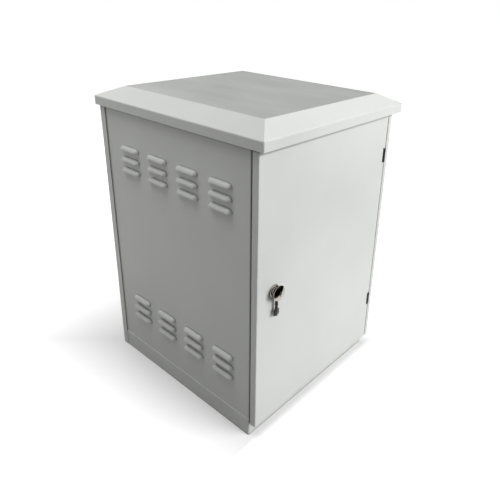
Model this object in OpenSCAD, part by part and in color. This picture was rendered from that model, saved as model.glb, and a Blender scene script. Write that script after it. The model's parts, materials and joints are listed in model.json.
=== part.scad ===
// Roadside utility cabinet: louvred sheet-steel body with one door, a hipped roof and a plinth.
// Origin at the middle of the base on the ground, X to the right, Y to the back, Z up, millimetres.

/* [Body] */
// Width over the plinth
body_w = 600; // [480:10:900]
// Depth of the plinth, front to back
body_d = 634; // [580:2:900]
// Height from the ground to the underside of the roof rim
body_h = 876; // [820:2:1400]
// Thickness of the body sheet
sheet = 1.5; // [1:0.1:2.5]
// Inside radius of the folds
fold_r = 1.5; // [1:0.1:3]
// Inside radius of the upright folds of the sides
side_fold_r = 3.5; // [2:0.1:4.5]
// How far the side faces stand in from the plinth
side_step = 2; // [0.5:0.1:4]
// Width of the folded edges round each side
side_edge_w = 8; // [7:0.5:9]
// Depth of the edges and the frame behind each side
return_w = 22; // [20:1:30]
// How far the sides rise inside the roof rim
side_rise = 12; // [8:1:20]

/* [Plinth] */
// Height of the plinth
plinth_h = 58; // [50:1:120]
// Thickness of the plinth sheet
plinth_sheet = 2; // [1.5:0.1:4]
// Width of the plinth flanges
plinth_flange = 50; // [46:1:70]
// Diameter of the anchor holes
anchor_d = 14; // [8:0.5:18]
// Distance of the anchor holes from the plinth faces
anchor_inset = 32; // [20:1:36]

/* [Louvres] */
// Overall length of one louvre
louvre_l = 84; // [60:1:110]
// Radius of a louvre, which is its height and how far it stands out
louvre_r = 12; // [8:0.5:16]
// Louvres in a row
louvre_cols = 4; // [1:1:4]
// Rows in a group
louvre_rows = 3; // [1:1:4]
// Distance between neighbours in a row
louvre_col_pitch = 129.5; // [114:0.5:140]
// Distance between rows
louvre_row_pitch = 34; // [24:1:45]
// Distance of the first louvre from the front
louvre_margin = 64; // [40:1:80]
// Height of the lowest row of the lower group
lower_louvre_z = 168; // [120:1:260]
// Height of the lowest row of the upper group
upper_louvre_z = 690; // [420:1:700]

/* [Roof] */
// Height of the roof rim
rim_h = 26; // [15:1:40]
// Rise from the rim to the plateau
roof_rise = 31; // [20:1:60]
// Overhang past the plinth on each side
roof_side_over = 11; // [10:0.5:30]
// Overhang past the door
roof_front_over = 24; // [10:0.5:50]
// Overhang past the rear panel
roof_rear_over = 9; // [9:0.5:30]
// Width of the sloping border at the sides
roof_side_inset = 64; // [40:1:90]
// Width of the sloping border at the front
roof_front_inset = 57; // [40:1:90]
// Width of the sloping border at the rear
roof_rear_inset = 72; // [40:1:90]
// Width of the turned-in hem under the rim
hem_w = 6; // [3:0.5:7]
// Width of the bearers under the roof
bearer_w = 40; // [30:1:60]
// Distance between the two bearers
bearer_pitch = 364; // [250:2:420]

/* [Door] */
// Depth of the door pan
door_depth = 20; // [18:0.5:30]
// Gap between the door pan and the body
door_gap = 5.6; // [5:0.1:10]
// Height of the door's lower edge
door_z = 48; // [30:1:56]
// Gap between the door and the roof rim
door_top_gap = 6; // [4:0.5:20]
// Gap between the door and the hinge post
door_edge_gap = 2; // [1.5:0.1:4]
// Width of the hinge post
post_w = 17.5; // [14:0.5:30]
// Width of the lip round the back of the door pan
door_lip = 15; // [15:0.5:20]
// Distance of the seal from the door edges
seal_edge = 0.5; // [0.3:0.1:2]
// Width of the seal
seal_w = 9; // [6:0.5:9]
// Distance of the frame opening from the lock edge of the door
frame_lock_in = 44; // [40:1:46]
// Distance of the frame opening from the hinged edge
frame_hinge_in = 31; // [28:1:40]
// Distance of the frame opening from the upper and lower edges
frame_end_in = 24; // [18:1:40]
// Height of the rain lip round the frame opening
lip_h = 6; // [4:0.5:10]

/* [Hinges] */
// Height of the lower hinge
lower_hinge_z = 210; // [140:1:300]
// Height of the upper hinge
upper_hinge_z = 740; // [500:1:760]
// Length of a hinge
hinge_l = 45; // [40:1:70]
// Diameter of the hinge knuckle
knuckle_d = 12; // [11:0.5:13]
// Diameter of the hinge pin
hinge_pin_d = 6; // [4:0.5:7]
// Hinge axis behind the door face
hinge_back = 2.5; // [2:0.1:3]
// Hinge axis in from the door edge
hinge_in = 4.5; // [4:0.1:6]
// Thickness of the hinge leaves
leaf_t = 3; // [2:0.5:4]

/* [Lock] */
// Distance of the lock from the door edge
lock_in = 66; // [62:1:90]
// Height of the lock
lock_z = 477; // [350:1:560]
// Diameter of the rosette
rosette_d = 36; // [34:0.5:48]
// Thickness of the rosette
rosette_t = 4; // [3:0.5:6]
// Diameter of the neck
neck_d = 26; // [22:0.5:30]
// Length of the neck
neck_l = 11; // [9:0.5:16]
// Diameter of the turn knob
knob_d = 44; // [36:0.5:50]
// Thickness of the turn knob at the middle of its dome
knob_t = 8; // [6:0.5:9]
// Height of the dome on the turn knob
dome_h = 4.5; // [2:0.5:5]
// Diameter of the threaded barrel through the door
barrel_d = 22; // [18:0.5:24]
// Diameter of the spindle
spindle_d = 12; // [10:0.5:13]
// Length of the cam from the axis to its tip
cam_l = 39; // [36:0.5:40]
// Width of the cam
cam_w = 20; // [16:0.5:22]
// Thickness of the cam
cam_t = 3; // [2:0.5:5]
// Length from the middle of the key ring to the tip of the key
key_l = 72; // [60:1:90]
// Diameter of the key stem
key_d = 8; // [6:0.5:9]

/* [Inside] */
// Width of the gear plate
gear_w = 460; // [300:10:500]
// Height of the gear plate
gear_h = 690; // [400:10:720]
// Thickness of the gear plate
gear_t = 2.5; // [1.5:0.5:4]
// Height of the lower edge of the gear plate
gear_z = 130; // [90:5:150]
// Height of a gear rail
rail_h = 30; // [24:1:50]
// Depth of a gear rail
rail_d = 20; // [15:1:40]
// Thickness of the gland plate
gland_t = 3; // [2:0.5:5]
// Diameter of the cable entries in the grommets
entry_d = 32; // [16:1:36]
// Distance between cable entries
entry_pitch = 120; // [90:5:140]

/* [Hidden] */

$fn = 48;
overrun = 1;
// Clearance between pieces that are pushed together
slip = 0.3;
// Radial clearance of a pin that turns
run_clear = 0.05;
// Radial clearance of a pin that is pressed home
tight_clear = 0.02;
// Segments in a fold
fold_steps = 4;

// Planes of the body
half_w = body_w / 2;
half_d = body_d / 2;
front_y = -half_d;
rear_y = half_d + sheet;
side_x = half_w - side_step;
side_top_z = body_h + side_rise;
side_h = side_top_z - plinth_h;
frame_rear_y = front_y + sheet;

// Planes of the door
door_y = front_y - door_gap - door_depth;
door_in_y = door_y + sheet;
door_left_x = -half_w;
post_x = half_w - post_w;
door_right_x = post_x - door_edge_gap;
door_w = door_right_x - door_left_x;
door_top_z = body_h - door_top_gap;
door_h = door_top_z - door_z;
door_mid = [(door_left_x + door_right_x) / 2, door_y, (door_z + door_top_z) / 2];

// Frame between the sides and its opening
frame_half_w = side_x - return_w - slip;
frame_left = door_left_x + frame_lock_in;
frame_right = door_right_x - frame_hinge_in;
frame_low = door_z + frame_end_in;
frame_high = door_top_z - frame_end_in;
frame_size = [frame_right - frame_left, frame_high - frame_low];
frame_mid = [(frame_left + frame_right) / 2, (frame_low + frame_high) / 2];
lip_y = front_y - lip_h;

// Hinge axis, halves and the notch in the door edge
hinge_x = door_right_x - hinge_in;
hinge_y = door_y + hinge_back;
half_gap = 0.4;
half_l = (hinge_l - half_gap) / 2;
leaf_w = 33;
notch_clear = 1;
notch_w = hinge_in + knuckle_d / 2 + notch_clear + notch_clear;
notch_d = sheet + knuckle_d;
hinge_stud_d = 5;
hinge_stud_l = 9;
hinge_stud_in = 24;
hinge_stud_pitch = 11;
hinge_nut_af = 8;
hinge_nut_t = 4;

// Outer rectangle of the seal, which ends short of the hinge axis so that it never swings into the frame
seal_hinge_gap = 1;
seal_left = door_left_x + seal_edge;
seal_right = hinge_x - seal_hinge_gap;
seal_low = door_z + seal_edge;
seal_high = door_top_z - seal_edge;
seal_size = [seal_right - seal_left, seal_high - seal_low];
seal_mid = [(seal_left + seal_right) / 2, (seal_low + seal_high) / 2];

// Lock axis and the planes along it
lock_x = door_left_x + lock_in;
neck_y = door_y - rosette_t;
knob_y = neck_y - neck_l - slip;
cam_clear = 1.5;
keeper_t = 1.2;
keeper_w = 16;
cam_y = frame_rear_y + cam_clear;
barrel_end_y = frame_rear_y;
square_w = 8;
spindle_end_y = cam_y + cam_t - slip;
lock_nut_af = 30;
lock_nut_t = 6;
cam_screw_d = 5;
cam_screw_l = 12;
cam_washer_d = 15;
cam_washer_t = 1.2;
cam_head_d = 9;
cam_head_t = 4;
keyhole_d = 8.6;
keyhole_slot_w = 3;
keyhole_slot_l = 17;
keyhole_depth = 4;

// Split ring round the neck, and the key that hangs from it
ring_wire_d = 2;
ring_ease = 3.5;
ring_r = neck_d / 2 + ring_ease;
key_y = (neck_y + knob_y) / 2;
ring_z = lock_z + neck_d / 2 + slip + ring_wire_d / 2 - ring_r;
eye_wire_d = 2.6;
eye_r = ring_wire_d / 2 + slip + eye_wire_d;
eye_z = ring_z - ring_r + ring_wire_d / 2 + slip + eye_wire_d / 2 - eye_r;
key_bit_w = 19;
key_bit_h = 17;
key_bit_t = 3;
key_tip_l = 3;

// Roof planes, seen from the front and from the side
roof_half_w = half_w + roof_side_over;
roof_front_y = door_y - roof_front_over;
roof_rear_y = rear_y + roof_rear_over;
rim_top_z = body_h + rim_h;
roof_top_z = rim_top_z + roof_rise;
roof_fold_r = 2.5;
rim_corner_r = 4;
bearer_t = 2;
bearer_end_in = 4;

// Fasteners
screw_d = 6;
screw_head_d = 12;
screw_head_t = 3.6;
hole_clear = 0.4;
roof_bolt_d = 8;
roof_bolt_af = 13;
roof_bolt_head_t = 5.3;
roof_nut_t = 6.5;
bolt_stickout = 3;
side_bolt_in = (side_edge_w + slip + return_w) / 2;
roof_bolt_x = side_x - side_bolt_in;
rear_screw_x = side_x - side_bolt_in;
rear_screw_rows = 4;
rear_screw_margin = 60;
rear_floor_gap = 1;
rear_top_gap = 2;
rear_wrap = 25;

// Inside pieces
gland_w = 2 * (side_x - return_w) - 2 * slip;
gland_front_y = frame_rear_y + slip;
gland_rear_y = half_d - return_w - slip;
gland_mid_y = (gland_front_y + gland_rear_y) / 2;
gland_screw_in = 12;
gland_screw_end = 90;
gland_screw_rows = 3;
grommet_rim = 6;
grommet_wall = 5;
grommet_lip_t = 4;
rail_rear_y = half_d - sheet;
rail_front_y = rail_rear_y - rail_d;
rail_t = 2;
rail_l = 2 * (side_x - sheet - side_fold_r - slip);
rail_inset = 110;
gear_front_y = rail_front_y - gear_t;
gear_bolt_in = 30;
gear_bolt_x = gear_w / 2 - gear_bolt_in;
gear_fold = 12;
gear_slot_w = 60;
gear_slot_h = 9;
gear_slot_cols = 4;
gear_slot_rows = 7;
earth_d = 8;
earth_l = 26;
earth_in = 45;
earth_nut_af = 13;
earth_nut_t = 6.5;
earth_x = earth_in - gear_w / 2;
earth_z = gear_z + earth_in;
stiffener_w = 60;
stiffener_d = 12;
stiffener_flange = 14;
stiffener_end = 70;

paint = "#d9dbd8";
zinc = "#aeb2b4";
black = "#1a1a1a";
chrome = "#c9ccd0";
rubber = "#222222";
brass = "#b08d4f";

// Plane geometry helpers
function unit(v) = v / norm(v);
function left_of(v) = [-v[1], v[0]];
function turned(v, a) = [v[0] * cos(a) - v[1] * sin(a), v[0] * sin(a) + v[1] * cos(a)];
function turn_at(d0, d1) = atan2(cross(d0, d1), d0 * d1);
function reversed(p) = [for (i = [len(p) - 1 : -1 : 0]) p[i]];

// Points of the arc that a corner at b becomes: radius r at the reference face, reach from its centre
function bend(a, b, c, r, reach, steps) =
    let (d0 = unit(b - a), d1 = unit(c - b), turn = turn_at(d0, d1), s = sign(turn))
    let (mid = b - d0 * r * tan(abs(turn) / 2) + left_of(d0) * s * r)
    [for (k = [0 : steps]) mid + turned(left_of(d0) * -s * reach, turn * k / steps)];

// Closed outline with each corner rounded to its own radius, zero for a sharp one
function rounded(p, radii, steps = fold_steps) =
    let (n = len(p))
    [for (i = [0 : n - 1]) each radii[i] == 0 ? [p[i]]
        : bend(p[(i + n - 1) % n], p[i], p[(i + 1) % n], radii[i], radii[i], steps)];

// Outline moved in by t, for corners in anticlockwise order
function inset(p, t) =
    let (n = len(p))
    [for (i = [0 : n - 1])
        let (n0 = left_of(unit(p[i] - p[(i + n - 1) % n])), n1 = left_of(unit(p[(i + 1) % n] - p[i])))
        p[i] + t * (n0 + n1) / (1 + n0 * n1)];

// One face of a folded sheet: away is zero on the drawn side and the sheet thickness on its left
function sheet_side(p, t, r, away) =
    let (last = len(p) - 1)
    concat(
        [p[0] + left_of(unit(p[1] - p[0])) * away],
        [for (i = [1 : 1 : last - 1])
            let (s = sign(turn_at(unit(p[i] - p[i - 1]), unit(p[i + 1] - p[i]))))
            let (face_r = s > 0 ? r + t : r)
            each bend(p[i - 1], p[i], p[i + 1], face_r, face_r - s * away, fold_steps)],
        [p[last] + left_of(unit(p[last] - p[last - 1])) * away]
    );

// Section of a folded sheet whose drawn face follows p, with the metal on its left
function folded(p, t, r) = concat(sheet_side(p, t, r, 0), reversed(sheet_side(p, t, r, t)));

// Box from one corner to the opposite one
module block(low, high) {
    translate(low) cube(high - low);
}

// Slab seen from the front: size in X and Z, from y0 to y1
module slab(mid, size, y0, y1) {
    low = mid - size / 2;
    high = mid + size / 2;
    block([low[0], y0, low[1]], [high[0], y1, high[1]]);
}

// Rectangular ring seen from the front
module ring_slab(mid, outer, inner, y0, y1) {
    difference() {
        slab(mid, outer, y0, y1);
        slab(mid, inner, y0 - overrun, y1 + overrun);
    }
}

// Section drawn in XY, raised from z0 to z1
module raised(points, z0, z1) {
    translate([0, 0, z0]) linear_extrude(z1 - z0) polygon(points);
}

// Section drawn in YZ, drawn out along X from x0 to x1
module drawn_x(points, x0, x1) {
    translate([x0, 0, 0]) rotate([90, 0, 90]) linear_extrude(x1 - x0) polygon(points);
}

// Section drawn in XZ, drawn out along Y from y0 to y1
module drawn_y(points, y0, y1) {
    translate([0, y1, 0]) rotate([90, 0, 0]) linear_extrude(y1 - y0) polygon(points);
}

// Round bar along Y
module bar_y(x, z, d, y0, y1) {
    translate([x, y1, z]) rotate([90, 0, 0]) cylinder(d = d, h = y1 - y0);
}

// Hexagon bar along Y
module hex_y(x, z, af, y0, y1) {
    translate([x, y1, z]) rotate([90, 0, 0]) cylinder(d = af / cos(30), h = y1 - y0, $fn = 6);
}

// Section with two rounded front corners, for the walls of a pan
function pan_section(w, depth, r) =
    rounded([[-w / 2, depth], [-w / 2, 0], [w / 2, 0], [w / 2, depth]], [0, r, r, 0]);

// Block with its front edges rounded: r on the upright ones, end_r on the upper and lower ones
module pan_form(w, h, depth, r, end_r) {
    intersection() {
        raised(pan_section(w, depth, r), -h / 2, h / 2);
        rotate([0, 90, 0]) raised(pan_section(h, depth, end_r), -w / 2, w / 2);
    }
}

// Folded pan, open at the back; where end_r is zero its upper and lower edges are welded sharp
module pan(w, h, depth, r, end_r) {
    outer_end_r = end_r == 0 ? 0 : end_r + sheet;
    difference() {
        pan_form(w, h, depth, r + sheet, outer_end_r);
        translate([0, sheet, 0]) pan_form(w - 2 * sheet, h - 2 * sheet, depth + overrun, r, end_r);
    }
}

// Quarter disc that a louvre is drawn from, carried down past its lip by drop
module hood_section(r, drop) {
    intersection() {
        circle(r);
        square(r);
    }
    if (drop > 0) translate([0, -drop]) square([r, drop]);
}

// Pressed hood with domed ends, standing out towards -Y from the plane y = 0, open at its lip
module hood(r, span, drop) {
    translate([span / 2, 0, 0]) rotate([90, 0, -90]) linear_extrude(span) hood_section(r, drop);
    translate([span / 2, 0, 0]) rotate([0, 0, -90]) rotate_extrude(angle = 90) hood_section(r, drop);
    translate([-span / 2, 0, 0]) rotate([0, 0, 180]) rotate_extrude(angle = 90) hood_section(r, drop);
}

// Opening that the hood leaves in the sheet behind it
module hood_mouth(r, span, depth) {
    block([-span / 2, 0, 0], [span / 2, depth, r]);
    translate([span / 2, depth, 0]) rotate([90, 0, 0]) linear_extrude(depth) hood_section(r, 0);
    translate([-span / 2, 0, 0]) rotate([90, 0, 180]) linear_extrude(depth) hood_section(r, 0);
}

// Left and right sides, one shallow folded pan with two groups of pressed louvres
module side_pan() {
    span = louvre_l - 2 * louvre_r;
    places = [
        for (z = [lower_louvre_z, upper_louvre_z], row = [0 : louvre_rows - 1], col = [0 : louvre_cols - 1])
            [half_d - louvre_margin - louvre_l / 2 - col * louvre_col_pitch, z + row * louvre_row_pitch]
    ];
    difference() {
        union() {
            translate([0, 0, plinth_h + side_h / 2]) pan(body_d, side_h, side_edge_w, side_fold_r, 0);
            for (p = places) translate([p[0], 0, p[1]]) hood(louvre_r, span, 0);
        }
        for (p = places) translate([p[0], 0, p[1]]) {
            hood(louvre_r - sheet, span, overrun);
            hood_mouth(louvre_r - sheet, span, sheet + overrun);
        }
    }
}

// Welded ring of strip behind the edges of a side, with holes for the rear screws and the roof bolts
module side_ring() {
    outer = [body_d, side_h];
    difference() {
        ring_slab([0, plinth_h + side_h / 2], outer, outer - 2 * [sheet, sheet], side_edge_w + slip, return_w);
        for (z = rear_screw_z())
            translate([-half_d - overrun, side_bolt_in, z]) rotate([0, 90, 0])
                cylinder(d = screw_d + hole_clear, h = sheet + 2 * overrun);
        for (s = [-1, 1])
            translate([s * bearer_pitch / 2, side_bolt_in, side_top_z - sheet - overrun])
                cylinder(d = roof_bolt_d + hole_clear, h = sheet + 2 * overrun);
    }
}

// Heights of the rear panel screws
function rear_screw_z() =
    let (low = plinth_h + rear_screw_margin, high = side_top_z - rear_screw_margin)
    [for (i = [0 : rear_screw_rows - 1]) low + (high - low) * i / (rear_screw_rows - 1)];

// Place of the left side, for pieces drawn facing -Y
module at_left_side() {
    translate([-side_x, 0, 0]) rotate([0, 0, -90]) children();
}

module left_side_panel() {
    color(paint) at_left_side() side_pan();
}

module left_side_frame() {
    color(paint) at_left_side() side_ring();
}

module right_side_panel() {
    color(paint) mirror([1, 0, 0]) at_left_side() side_pan();
}

module right_side_frame() {
    color(paint) mirror([1, 0, 0]) at_left_side() side_ring();
}

// Welded ring of folded channel with anchor holes in its lower flange
module base_plinth() {
    ring_in = plinth_flange;
    wall = plinth_sheet;
    corner_r = fold_r + wall;
    corners = [[-half_w, -half_d], [half_w, -half_d], [half_w, half_d], [-half_w, half_d]];
    color(paint) difference() {
        raised(rounded(corners, [corner_r, corner_r, corner_r, corner_r]), 0, plinth_h);
        block([wall - half_w, wall - half_d, wall], [half_w - wall, half_d - wall, plinth_h - wall]);
        block([ring_in - half_w, ring_in - half_d, -overrun],
              [half_w - ring_in, half_d - ring_in, plinth_h + overrun]);
        for (sx = [-1, 1], sy = [-1, 1])
            translate([sx * (half_w - anchor_inset), sy * (half_d - anchor_inset), -overrun])
                cylinder(d = anchor_d, h = wall + 2 * overrun);
        for (p = gland_screws()) translate([p[0], p[1], plinth_h - wall - overrun])
            cylinder(d = screw_d + hole_clear, h = wall + 2 * overrun);
    }
}

// Places of the gland plate screws, along its two long sides
function gland_screws() =
    let (x = gland_w / 2 - gland_screw_in)
    let (low = gland_front_y + gland_screw_end, high = gland_rear_y - gland_screw_end)
    let (pitch = (high - low) / (gland_screw_rows - 1))
    [for (s = [-1, 1], i = [0 : gland_screw_rows - 1]) [s * x, low + pitch * i]];

module gland_plate() {
    color(zinc) difference() {
        block([-gland_w / 2, gland_front_y, plinth_h], [gland_w / 2, gland_rear_y, plinth_h + gland_t]);
        for (p = gland_screws()) translate([p[0], p[1], plinth_h - overrun])
            cylinder(d = screw_d + hole_clear, h = gland_t + 2 * overrun);
        for (i = [-1 : 1]) translate([i * entry_pitch, gland_mid_y, plinth_h - overrun])
            cylinder(d = entry_d + 2 * grommet_wall + 2 * slip, h = gland_t + 2 * overrun);
    }
}

// Pan-head screw along -Z with its seat at z = 0
module pan_screw(grip) {
    rotate_extrude() polygon(concat(
        [[0, -grip], [screw_d / 2, -grip], [screw_d / 2, 0], [screw_head_d / 2, 0]],
        [for (a = [0 : 30 : 90])
            [screw_head_d / 4 * (1 + cos(a)), screw_head_t * (0.5 + sin(a) / 2)]],
        [[0, screw_head_t]]
    ));
}

module gland_plate_screws() {
    color(zinc) for (p = gland_screws()) translate([p[0], p[1], plinth_h + gland_t])
        pan_screw(gland_t + plinth_sheet + bolt_stickout);
}

// Rubber grommet that snaps into the gland plate, with an open cable entry
module cable_grommet(i) {
    bore_r = entry_d / 2;
    waist_r = bore_r + grommet_wall;
    rim_r = waist_r + grommet_rim;
    low = -grommet_lip_t - slip;
    high = gland_t + slip;
    color(rubber) translate([i * entry_pitch, gland_mid_y, plinth_h]) rotate_extrude() polygon([
        [bore_r, low], [rim_r - grommet_lip_t / 2, low], [rim_r, low + grommet_lip_t / 2], [rim_r, -slip],
        [waist_r, -slip], [waist_r, high], [rim_r, high], [rim_r, high + grommet_lip_t / 2],
        [rim_r - grommet_lip_t / 2, high + grommet_lip_t], [bore_r, high + grommet_lip_t]
    ]);
}

module cable_grommet_left() {
    cable_grommet(-1);
}

module cable_grommet_middle() {
    cable_grommet(0);
}

module cable_grommet_right() {
    cable_grommet(1);
}

// Rear sheet that wraps round both sides and runs down past the plinth
module rear_panel() {
    wrap_x = half_w + sheet;
    wrap_y = rear_y - rear_wrap;
    path = [[-wrap_x, wrap_y], [-wrap_x, rear_y], [wrap_x, rear_y], [wrap_x, wrap_y]];
    color(paint) difference() {
        raised(folded(reversed(path), sheet, fold_r), rear_floor_gap, side_top_z - rear_top_gap);
        for (s = [-1, 1], z = rear_screw_z())
            bar_y(s * rear_screw_x, z, screw_d + hole_clear, half_d - overrun, rear_y + overrun);
    }
}

module rear_panel_screws() {
    color(zinc) for (s = [-1, 1], z = rear_screw_z())
        translate([s * rear_screw_x, rear_y, z]) rotate([-90, 0, 0]) pan_screw(2 * sheet + bolt_stickout);
}

// Flat ring between the sides that the seal lands on, with a rain lip round its opening
module door_frame() {
    color(paint) difference() {
        union() {
            block([-frame_half_w, front_y, plinth_h + slip], [frame_half_w, frame_rear_y, side_top_z - slip]);
            slab(frame_mid, frame_size + 2 * [sheet, sheet], lip_y, frame_rear_y);
        }
        slab(frame_mid, frame_size, lip_y - overrun, frame_rear_y + overrun);
    }
}

// Wear plate that the cam slides behind
module lock_keeper() {
    color(zinc) slab([(frame_left - frame_half_w) / 2, lock_z], [keeper_w, 2 * cam_w],
                     frame_rear_y, frame_rear_y + keeper_t);
}

// Folded channel that carries the hinges beside the door
module hinge_post() {
    path = [[post_x, front_y], [post_x, door_y], [half_w, door_y], [half_w, front_y]];
    color(paint) difference() {
        raised(folded(path, sheet, fold_r), door_z, door_top_z);
        for (z = [lower_hinge_z, upper_hinge_z])
            block([post_x - overrun, door_in_y, z - half_gap / 2 - half_l - slip],
                  [post_x + sheet + fold_r, door_in_y + leaf_t + slip, z - half_gap / 2 + slip]);
    }
}

// Outline of the roof across one direction, from a flat underside at height low
function roof_outline(x0, x1, in0, in1, low) = [
    [x0, low], [x1, low], [x1, rim_top_z], [x1 - in1, roof_top_z], [x0 + in0, roof_top_z], [x0, rim_top_z]
];
function roof_across(low) = roof_outline(-roof_half_w, roof_half_w, roof_side_inset, roof_side_inset, low);
function roof_along(low) = roof_outline(roof_front_y, roof_rear_y, roof_front_inset, roof_rear_inset, low);
function roof_radii(r) = [0, 0, r, r, r, r];

// Outline of the roof from above, moved in by t, with its corners rounded to r
function roof_plan(t, r) =
    let (x = roof_half_w - t, y0 = roof_front_y + t, y1 = roof_rear_y - t)
    rounded([[-x, y0], [x, y0], [x, y1], [-x, y1]], [r, r, r, r]);

// Folded hipped cap: the outlines across and along meet in the four hips
module roof_cap() {
    deep = body_h - sheet - overrun;
    outer_r = roof_radii(roof_fold_r + sheet);
    inner_r = roof_radii(roof_fold_r);
    color(paint) {
        difference() {
            intersection() {
                drawn_y(rounded(roof_across(body_h), outer_r), roof_front_y, roof_rear_y);
                drawn_x(rounded(roof_along(body_h), outer_r), -roof_half_w, roof_half_w);
                raised(roof_plan(0, rim_corner_r), body_h, roof_top_z);
            }
            intersection() {
                drawn_y(rounded(inset(roof_across(deep), sheet), inner_r),
                        roof_front_y + sheet, roof_rear_y - sheet);
                drawn_x(rounded(inset(roof_along(deep), sheet), inner_r),
                        sheet - roof_half_w, roof_half_w - sheet);
                raised(roof_plan(sheet, rim_corner_r - sheet), deep, roof_top_z);
            }
        }
        difference() {
            raised(roof_plan(0, rim_corner_r), body_h, body_h + sheet);
            block([hem_w + sheet - roof_half_w, roof_front_y + hem_w + sheet, body_h - overrun],
                  [roof_half_w - hem_w - sheet, roof_rear_y - hem_w - sheet, body_h + sheet + overrun]);
        }
    }
}

// Outline under the roof that a bearer fills, out to end_x on both sides
function bearer_outline(end_x) =
    let (skin = inset(roof_across(body_h - sheet), sheet), slope = roof_rise / roof_side_inset)
    let (end_z = skin[2][1] + (skin[2][0] - end_x) * slope - slip, top_x = skin[3][0] - roof_fold_r)
    [
        [-end_x, side_top_z], [end_x, side_top_z], [end_x, end_z],
        [top_x, skin[3][1]], [-top_x, skin[3][1]], [-end_x, end_z]
    ];

// Two channels with open ends that follow the inside of the roof and stand on the side panels
module roof_bearers() {
    end_x = side_x - bearer_end_in;
    hollow = inset(bearer_outline(end_x + bearer_t + overrun), bearer_t);
    color(zinc) for (s = [-1, 1]) translate([0, s * bearer_pitch / 2, 0]) difference() {
        drawn_y(bearer_outline(end_x), -bearer_w / 2, bearer_w / 2);
        drawn_y(hollow, bearer_t - bearer_w / 2, bearer_w / 2 + overrun);
        for (e = [-1, 1]) translate([e * roof_bolt_x, 0, side_top_z - overrun])
            cylinder(d = roof_bolt_d + hole_clear, h = bearer_t + 2 * overrun);
    }
}

// Hexagon bolt along +Z with its head under z = 0
module hex_bolt(d, af, head_t, grip) {
    translate([0, 0, -head_t]) cylinder(d = af / cos(30), h = head_t, $fn = 6);
    cylinder(d = d, h = grip);
}

// Hexagon nut standing on z = 0
module hex_nut(d, af, t) {
    difference() {
        cylinder(d = af / cos(30), h = t, $fn = 6);
        translate([0, 0, -overrun]) cylinder(d = d + 2 * tight_clear, h = t + 2 * overrun);
    }
}

module roof_bolts() {
    grip = sheet + bearer_t + roof_nut_t + bolt_stickout;
    color(zinc) for (e = [-1, 1], s = [-1, 1])
        translate([e * roof_bolt_x, s * bearer_pitch / 2, side_top_z - sheet])
            hex_bolt(roof_bolt_d, roof_bolt_af, roof_bolt_head_t, grip);
}

module roof_nuts() {
    color(zinc) for (e = [-1, 1], s = [-1, 1])
        translate([e * roof_bolt_x, s * bearer_pitch / 2, side_top_z + bearer_t])
            hex_nut(roof_bolt_d, roof_bolt_af, roof_nut_t);
}

// Heights of the two gear rails
function rail_z() = [gear_z + rail_inset, gear_z + gear_h - rail_inset];

// Channels across the back that carry the gear plate
module gear_rails() {
    color(zinc) for (z = rail_z()) {
        path = [
            [rail_rear_y, z - rail_h / 2], [rail_front_y, z - rail_h / 2],
            [rail_front_y, z + rail_h / 2], [rail_rear_y, z + rail_h / 2]
        ];
        difference() {
            drawn_x(folded(reversed(path), rail_t, fold_r), -rail_l / 2, rail_l / 2);
            for (s = [-1, 1])
                bar_y(s * gear_bolt_x, z, roof_bolt_d + hole_clear,
                      rail_front_y - overrun, rail_front_y + rail_t + overrun);
        }
    }
}

// Slotted plate that the equipment is fixed to, with its long edges folded forward
module gear_plate() {
    x = gear_w / 2;
    edge_y = rail_front_y - gear_fold;
    path = [[-x, edge_y], [-x, rail_front_y], [x, rail_front_y], [x, edge_y]];
    color(zinc) difference() {
        raised(folded(reversed(path), gear_t, fold_r), gear_z, gear_z + gear_h);
        for (z = rail_z(), s = [-1, 1])
            bar_y(s * gear_bolt_x, z, roof_bolt_d + hole_clear,
                  gear_front_y - overrun, rail_front_y + overrun);
        for (col = [0 : gear_slot_cols - 1], row = [0 : gear_slot_rows - 1]) {
            sx = (col + 1) * gear_w / (gear_slot_cols + 1) - x;
            sz = gear_z + (row + 1) * gear_h / (gear_slot_rows + 1);
            slab([sx, sz], [gear_slot_w, gear_slot_h], gear_front_y - overrun, rail_front_y + overrun);
        }
        bar_y(earth_x, earth_z, earth_d + hole_clear, gear_front_y - overrun, rail_front_y + overrun);
    }
}

module gear_plate_bolts() {
    grip = gear_t + rail_t + roof_nut_t + bolt_stickout;
    color(zinc) for (z = rail_z(), s = [-1, 1])
        translate([s * gear_bolt_x, gear_front_y, z]) rotate([-90, 0, 0])
            hex_bolt(roof_bolt_d, roof_bolt_af, roof_bolt_head_t, grip);
}

module gear_plate_nuts() {
    color(zinc) for (z = rail_z(), s = [-1, 1])
        translate([s * gear_bolt_x, rail_front_y + rail_t, z]) rotate([-90, 0, 0])
            hex_nut(roof_bolt_d, roof_bolt_af, roof_nut_t);
}

// Earth stud near the lower left corner of the gear plate, locked by a nut on each face
module earth_stud() {
    end_y = rail_front_y + earth_nut_t + bolt_stickout;
    color(brass) bar_y(earth_x, earth_z, earth_d, gear_front_y - earth_l, end_y);
}

module earth_nuts() {
    color(brass) for (y = [gear_front_y, gear_front_y - earth_nut_t - slip, rail_front_y + earth_nut_t])
        translate([earth_x, y, earth_z]) rotate([90, 0, 0]) hex_nut(earth_d, earth_nut_af, earth_nut_t);
}

// Door pan with a lip round its back, a lock hole and a notch at each hinge
module door_panel() {
    color(paint) difference() {
        union() {
            translate(door_mid) pan(door_w, door_h, door_depth, fold_r, fold_r);
            ring_slab([door_mid[0], door_mid[2]], [door_w, door_h],
                      [door_w, door_h] - 2 * [door_lip, door_lip],
                      door_y + door_depth - sheet, door_y + door_depth);
        }
        bar_y(lock_x, lock_z, barrel_d + 2 * slip, door_y - overrun, door_in_y + overrun);
        for (z = [lower_hinge_z, upper_hinge_z]) {
            block([door_right_x - notch_w, door_y - overrun, z - hinge_l / 2 - notch_clear],
                  [door_right_x + overrun, door_y + notch_d, z + hinge_l / 2 + notch_clear]);
        }
    }
}

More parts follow.
